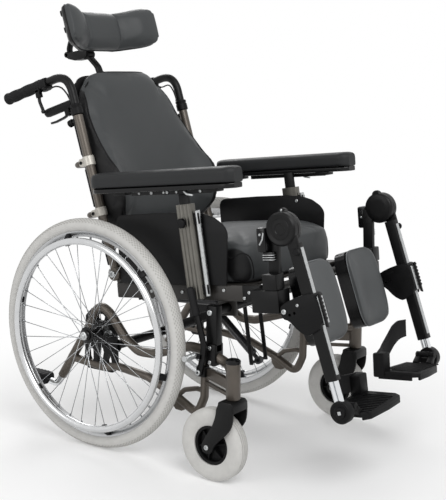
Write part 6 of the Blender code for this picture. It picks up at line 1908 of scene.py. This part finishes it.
def build_back():
    frame_tubes, recline_arm = back_frame()
    finished("back_frame", frame_tubes, "frame_taupe", "back", "back_frame", BACK)
    finished("recline_arm", recline_arm, "black_metal", "back", None, BACK)
    clamps, screws = tube_clamps()
    finished("back_clamps", clamps, "clamp_white", "back", None, BACK)
    finished("back_clamp_screws", screws, "black_metal", "back", None, BACK)
    holder, screw = mast_holder()
    finished("mast_holder", holder, "black_plastic", "back", None, BACK)
    finished("mast_screw", screw, "zinc", "back", None, BACK)
    finished("back_shell", back_shell(), "black_plastic", "back", "back_shell", BACK)
    cushion = back_cushion()
    finished("back_welt", back_welt(cushion), "piping", "back", None, BACK, crisp=0)
    cushion = finished("back_cushion", cushion, "vinyl", "back", "back_cushion", BACK, crisp=0, slot="vinyl")
    finished("headrest_mast", headrest_mast(), "black_metal", "headrest_mast", "headrest_mast", BACK)
    finished("headrest_knob", headrest_knob(), "black_plastic", "headrest_mast", None, BACK)
    pad = headrest_pad()
    finished("headrest_welt", headrest_welt(pad), "piping", "headrest", None, BACK, crisp=0)
    finished("headrest_pad", pad, "vinyl", "headrest", "headrest_pad", BACK, crisp=0)
    finished("headrest_clevis", headrest_clevis(), "black_metal", "headrest", None, BACK)
    lever = "release_lever_right"
    finished(lever, release_lever(), "gloss_plastic", lever, lever, BACK, -1)
    screw, knob = release_knob()
    finished("release_screw_right", screw, "zinc", "back", None, BACK, -1)
    finished("release_knob_right", knob, "black_plastic", "back", None, BACK, -1)


def build_legrest(name, side):
    drop = FOOT_DROP[name]
    put = placed(name, side, SEAT)
    put("legrest_hanger", legrest_hanger(), "black_metal", "legrest", "legrest_hanger")
    bracket, bright = hanger_latch()
    put("hanger_latch", bracket, "gloss_plastic", "legrest")
    put("hanger_bolts", bright, "zinc", "legrest")
    put = placed(name, side, LEG)
    put("leg_tube", leg_tube(), "black_metal", "leg", "leg_tube")
    put("leg_strip", leg_strip(), "zinc", "leg")
    put("leg_knob", leg_knob(), "black_plastic", "leg")
    put("calf_bracket", calf_bracket(), "black_plastic", "leg", "calf_bracket")
    clip, plate = bracket_clip()
    put("bracket_clip", clip, "zinc", "leg")
    put("clip_plate", plate, "black_metal", "leg")
    pad = calf_shape(0.0, CALF_SPLIT)
    put("calf_pad", pad, "vinyl_calf", "calf_pad", "calf_pad", crisp=0)
    # The calf welt's pale grey is a painted highlight along the shell's edge
    put("calf_piping", calf_piping(), "cap_grey", "calf_pad", crisp=0)
    put("calf_shell", calf_shape(0.0115, -0.007, (20, 4, 26)), "gloss_plastic", "calf_pad")
    put("foot_tube", foot_tube(drop), "chrome", "foot_tube", "foot_tube")
    put("foot_knuckle", foot_knuckle(drop), "black_plastic", "foot_tube")
    put("knuckle_nut", knuckle_nut(drop), "zinc", "foot_tube")
    put = placed(name, side, FOOT[name])
    put("footplate", footplate(), "black_plastic", "footplate", "footplate")
    put("heel_band", heel_band(), "webbing", "footplate")


for name, side in SIDES:
    build_wheels(name, side)
    build_chassis(name, side)
    build_seat(name, side)
    build_handles(name, side)
    build_legrest(name, side)

cross, cross_screws = cross_frame()
finished("cross_frame", cross, "black_metal", "chassis", "cross_frame")
finished("cross_frame_screws", cross_screws, "zinc", "chassis")
finished("tipping_tube", tipping_tube(), "chrome", "chassis", "tipping_lever_right", CHAIR, -1)
finished("tipping_pedal", tipping_pedal(), "grip_rubber", "chassis", None, CHAIR, -1)
rails, receivers, rail_screws = seat_frame()
finished("seat_frame", rails, "rail_taupe", "seat", "seat_frame", SEAT, slot="rail_taupe")
finished("legrest_receivers", receivers, "black_metal", "seat", None, SEAT)
finished("seat_frame_screws", rail_screws, "zinc", "seat", None, SEAT)
cushion = seat_cushion()
finished("seat_welt", seat_welt(cushion), "piping", "seat", None, SEAT, crisp=0)
finished("seat_cushion", cushion, "vinyl", "seat", "seat_cushion", SEAT, crisp=0)
build_back()
gas_spring("tilt_spring", 0.0, CHAIR, SPRING_A, SEAT, SPRING_B, 0.62, 0.085)
gas_spring("recline_spring", -RECLINE_X, SEAT, SPRING_C, BACK, SPRING_D, 0.66, 0.07)


# Floor, light and camera


FLOOR_GLOW = 0.22


def floor_material():
    """White paint under soft light, turning into the plain white of the surround further out."""
    made = bpy.data.materials.new("painted_floor_white")
    made.use_nodes = True
    tree = made.node_tree
    shader = tree.nodes["Principled BSDF"]
    output = tree.nodes["Material Output"]
    shader.inputs["Base Color"].default_value = linear("f2f2f2")
    shader.inputs["Roughness"].default_value = 0.7
    shader.inputs["Specular IOR Level"].default_value = 0.15
    place = add(tree, "ShaderNodeTexCoord").outputs["Object"]
    reach = add(tree, "ShaderNodeVectorMath", {0: place}, operation="LENGTH").outputs["Value"]
    links = {"Value": reach, "From Min": 0.45, "From Max": 1.3}
    fade = add(tree, "ShaderNodeMapRange", links, interpolation_type="SMOOTHSTEP").outputs["Result"]
    white = add(tree, "ShaderNodeEmission", {"Color": (1, 1, 1, 1), "Strength": 1.0})
    links = {"Value": fade, "To Min": FLOOR_GLOW, "To Max": 1.0}
    share = add(tree, "ShaderNodeMapRange", links).outputs["Result"]
    mix = add(tree, "ShaderNodeMixShader", {0: share, 1: shader.outputs[0], 2: white.outputs[0]})
    tree.links.new(mix.outputs[0], output.inputs["Surface"])
    return made


def floor():
    mesh = bpy.data.meshes.new("floor")
    work = bmesh.new()
    bmesh.ops.create_circle(work, cap_ends=True, radius=3.2, segments=96)
    work.to_mesh(mesh)
    work.free()
    mesh.materials.append(floor_material())
    obj = bpy.data.objects.new("floor", mesh)
    bpy.context.scene.collection.objects.link(obj)
    return obj


def soft_light(name, place, aim, size, power):
    lamp = bpy.data.lights.new(name, "AREA")
    lamp.shape, lamp.size, lamp.energy = "DISK", size, power
    obj = bpy.data.objects.new(name, lamp)
    obj.location = place
    obj.rotation_euler = (Vector(aim) - Vector(place)).to_track_quat("-Z", "Y").to_euler()
    bpy.context.scene.collection.objects.link(obj)
    return obj


def surround():
    """White to the camera, softer to the light."""
    world = bpy.data.worlds.new("studio")
    world.use_nodes = True
    tree = world.node_tree
    back = tree.nodes["Background"]
    rays = add(tree, "ShaderNodeLightPath").outputs
    links = {0: rays["Is Camera Ray"], 1: rays["Is Glossy Ray"]}
    seen = add(tree, "ShaderNodeMath", links, operation="MAXIMUM")
    level = add(tree, "ShaderNodeMapRange", {"Value": seen.outputs[0], "To Min": 0.55, "To Max": 1.0})
    back.inputs["Color"].default_value = (1, 1, 1, 1)
    tree.links.new(level.outputs["Result"], back.inputs["Strength"])
    bpy.context.scene.world = world


def camera():
    """The photograph's place and lens."""
    made = bpy.data.cameras.new("camera")
    made.sensor_width = 36.0
    made.lens = 75.62
    made.shift_x, made.shift_y = 0.01218, 0.00768
    obj = bpy.data.objects.new("camera", made)
    ahead = Vector((0.79725, 0.57989, -0.16769)).normalized()
    right = Vector((0.58822, -0.8087, 0)).normalized()
    up = right.cross(ahead)
    turn = Matrix((right, up, -ahead)).transposed().to_4x4()
    obj.matrix_world = Matrix.Translation((-2.26674, -1.63445, 0.97293)) @ turn
    bpy.context.scene.collection.objects.link(obj)
    bpy.context.scene.camera = obj


floor()
LAMPS = [
    # Name, place, what it points at, width in metres, watts
    ("key", (-1.6, -2.4, 3.0), (0, 0, 0.5), 2.2, 75),
    ("fill", (-3.2, 0.8, 1.6), (0, 0, 0.6), 2.0, 22),
    ("back", (1.8, 2.4, 2.6), (0, 0, 0.6), 1.8, 40),
]
for lamp in LAMPS:
    soft_light(*lamp)
surround()
camera()
bpy.context.scene.view_settings.view_transform = "Standard"
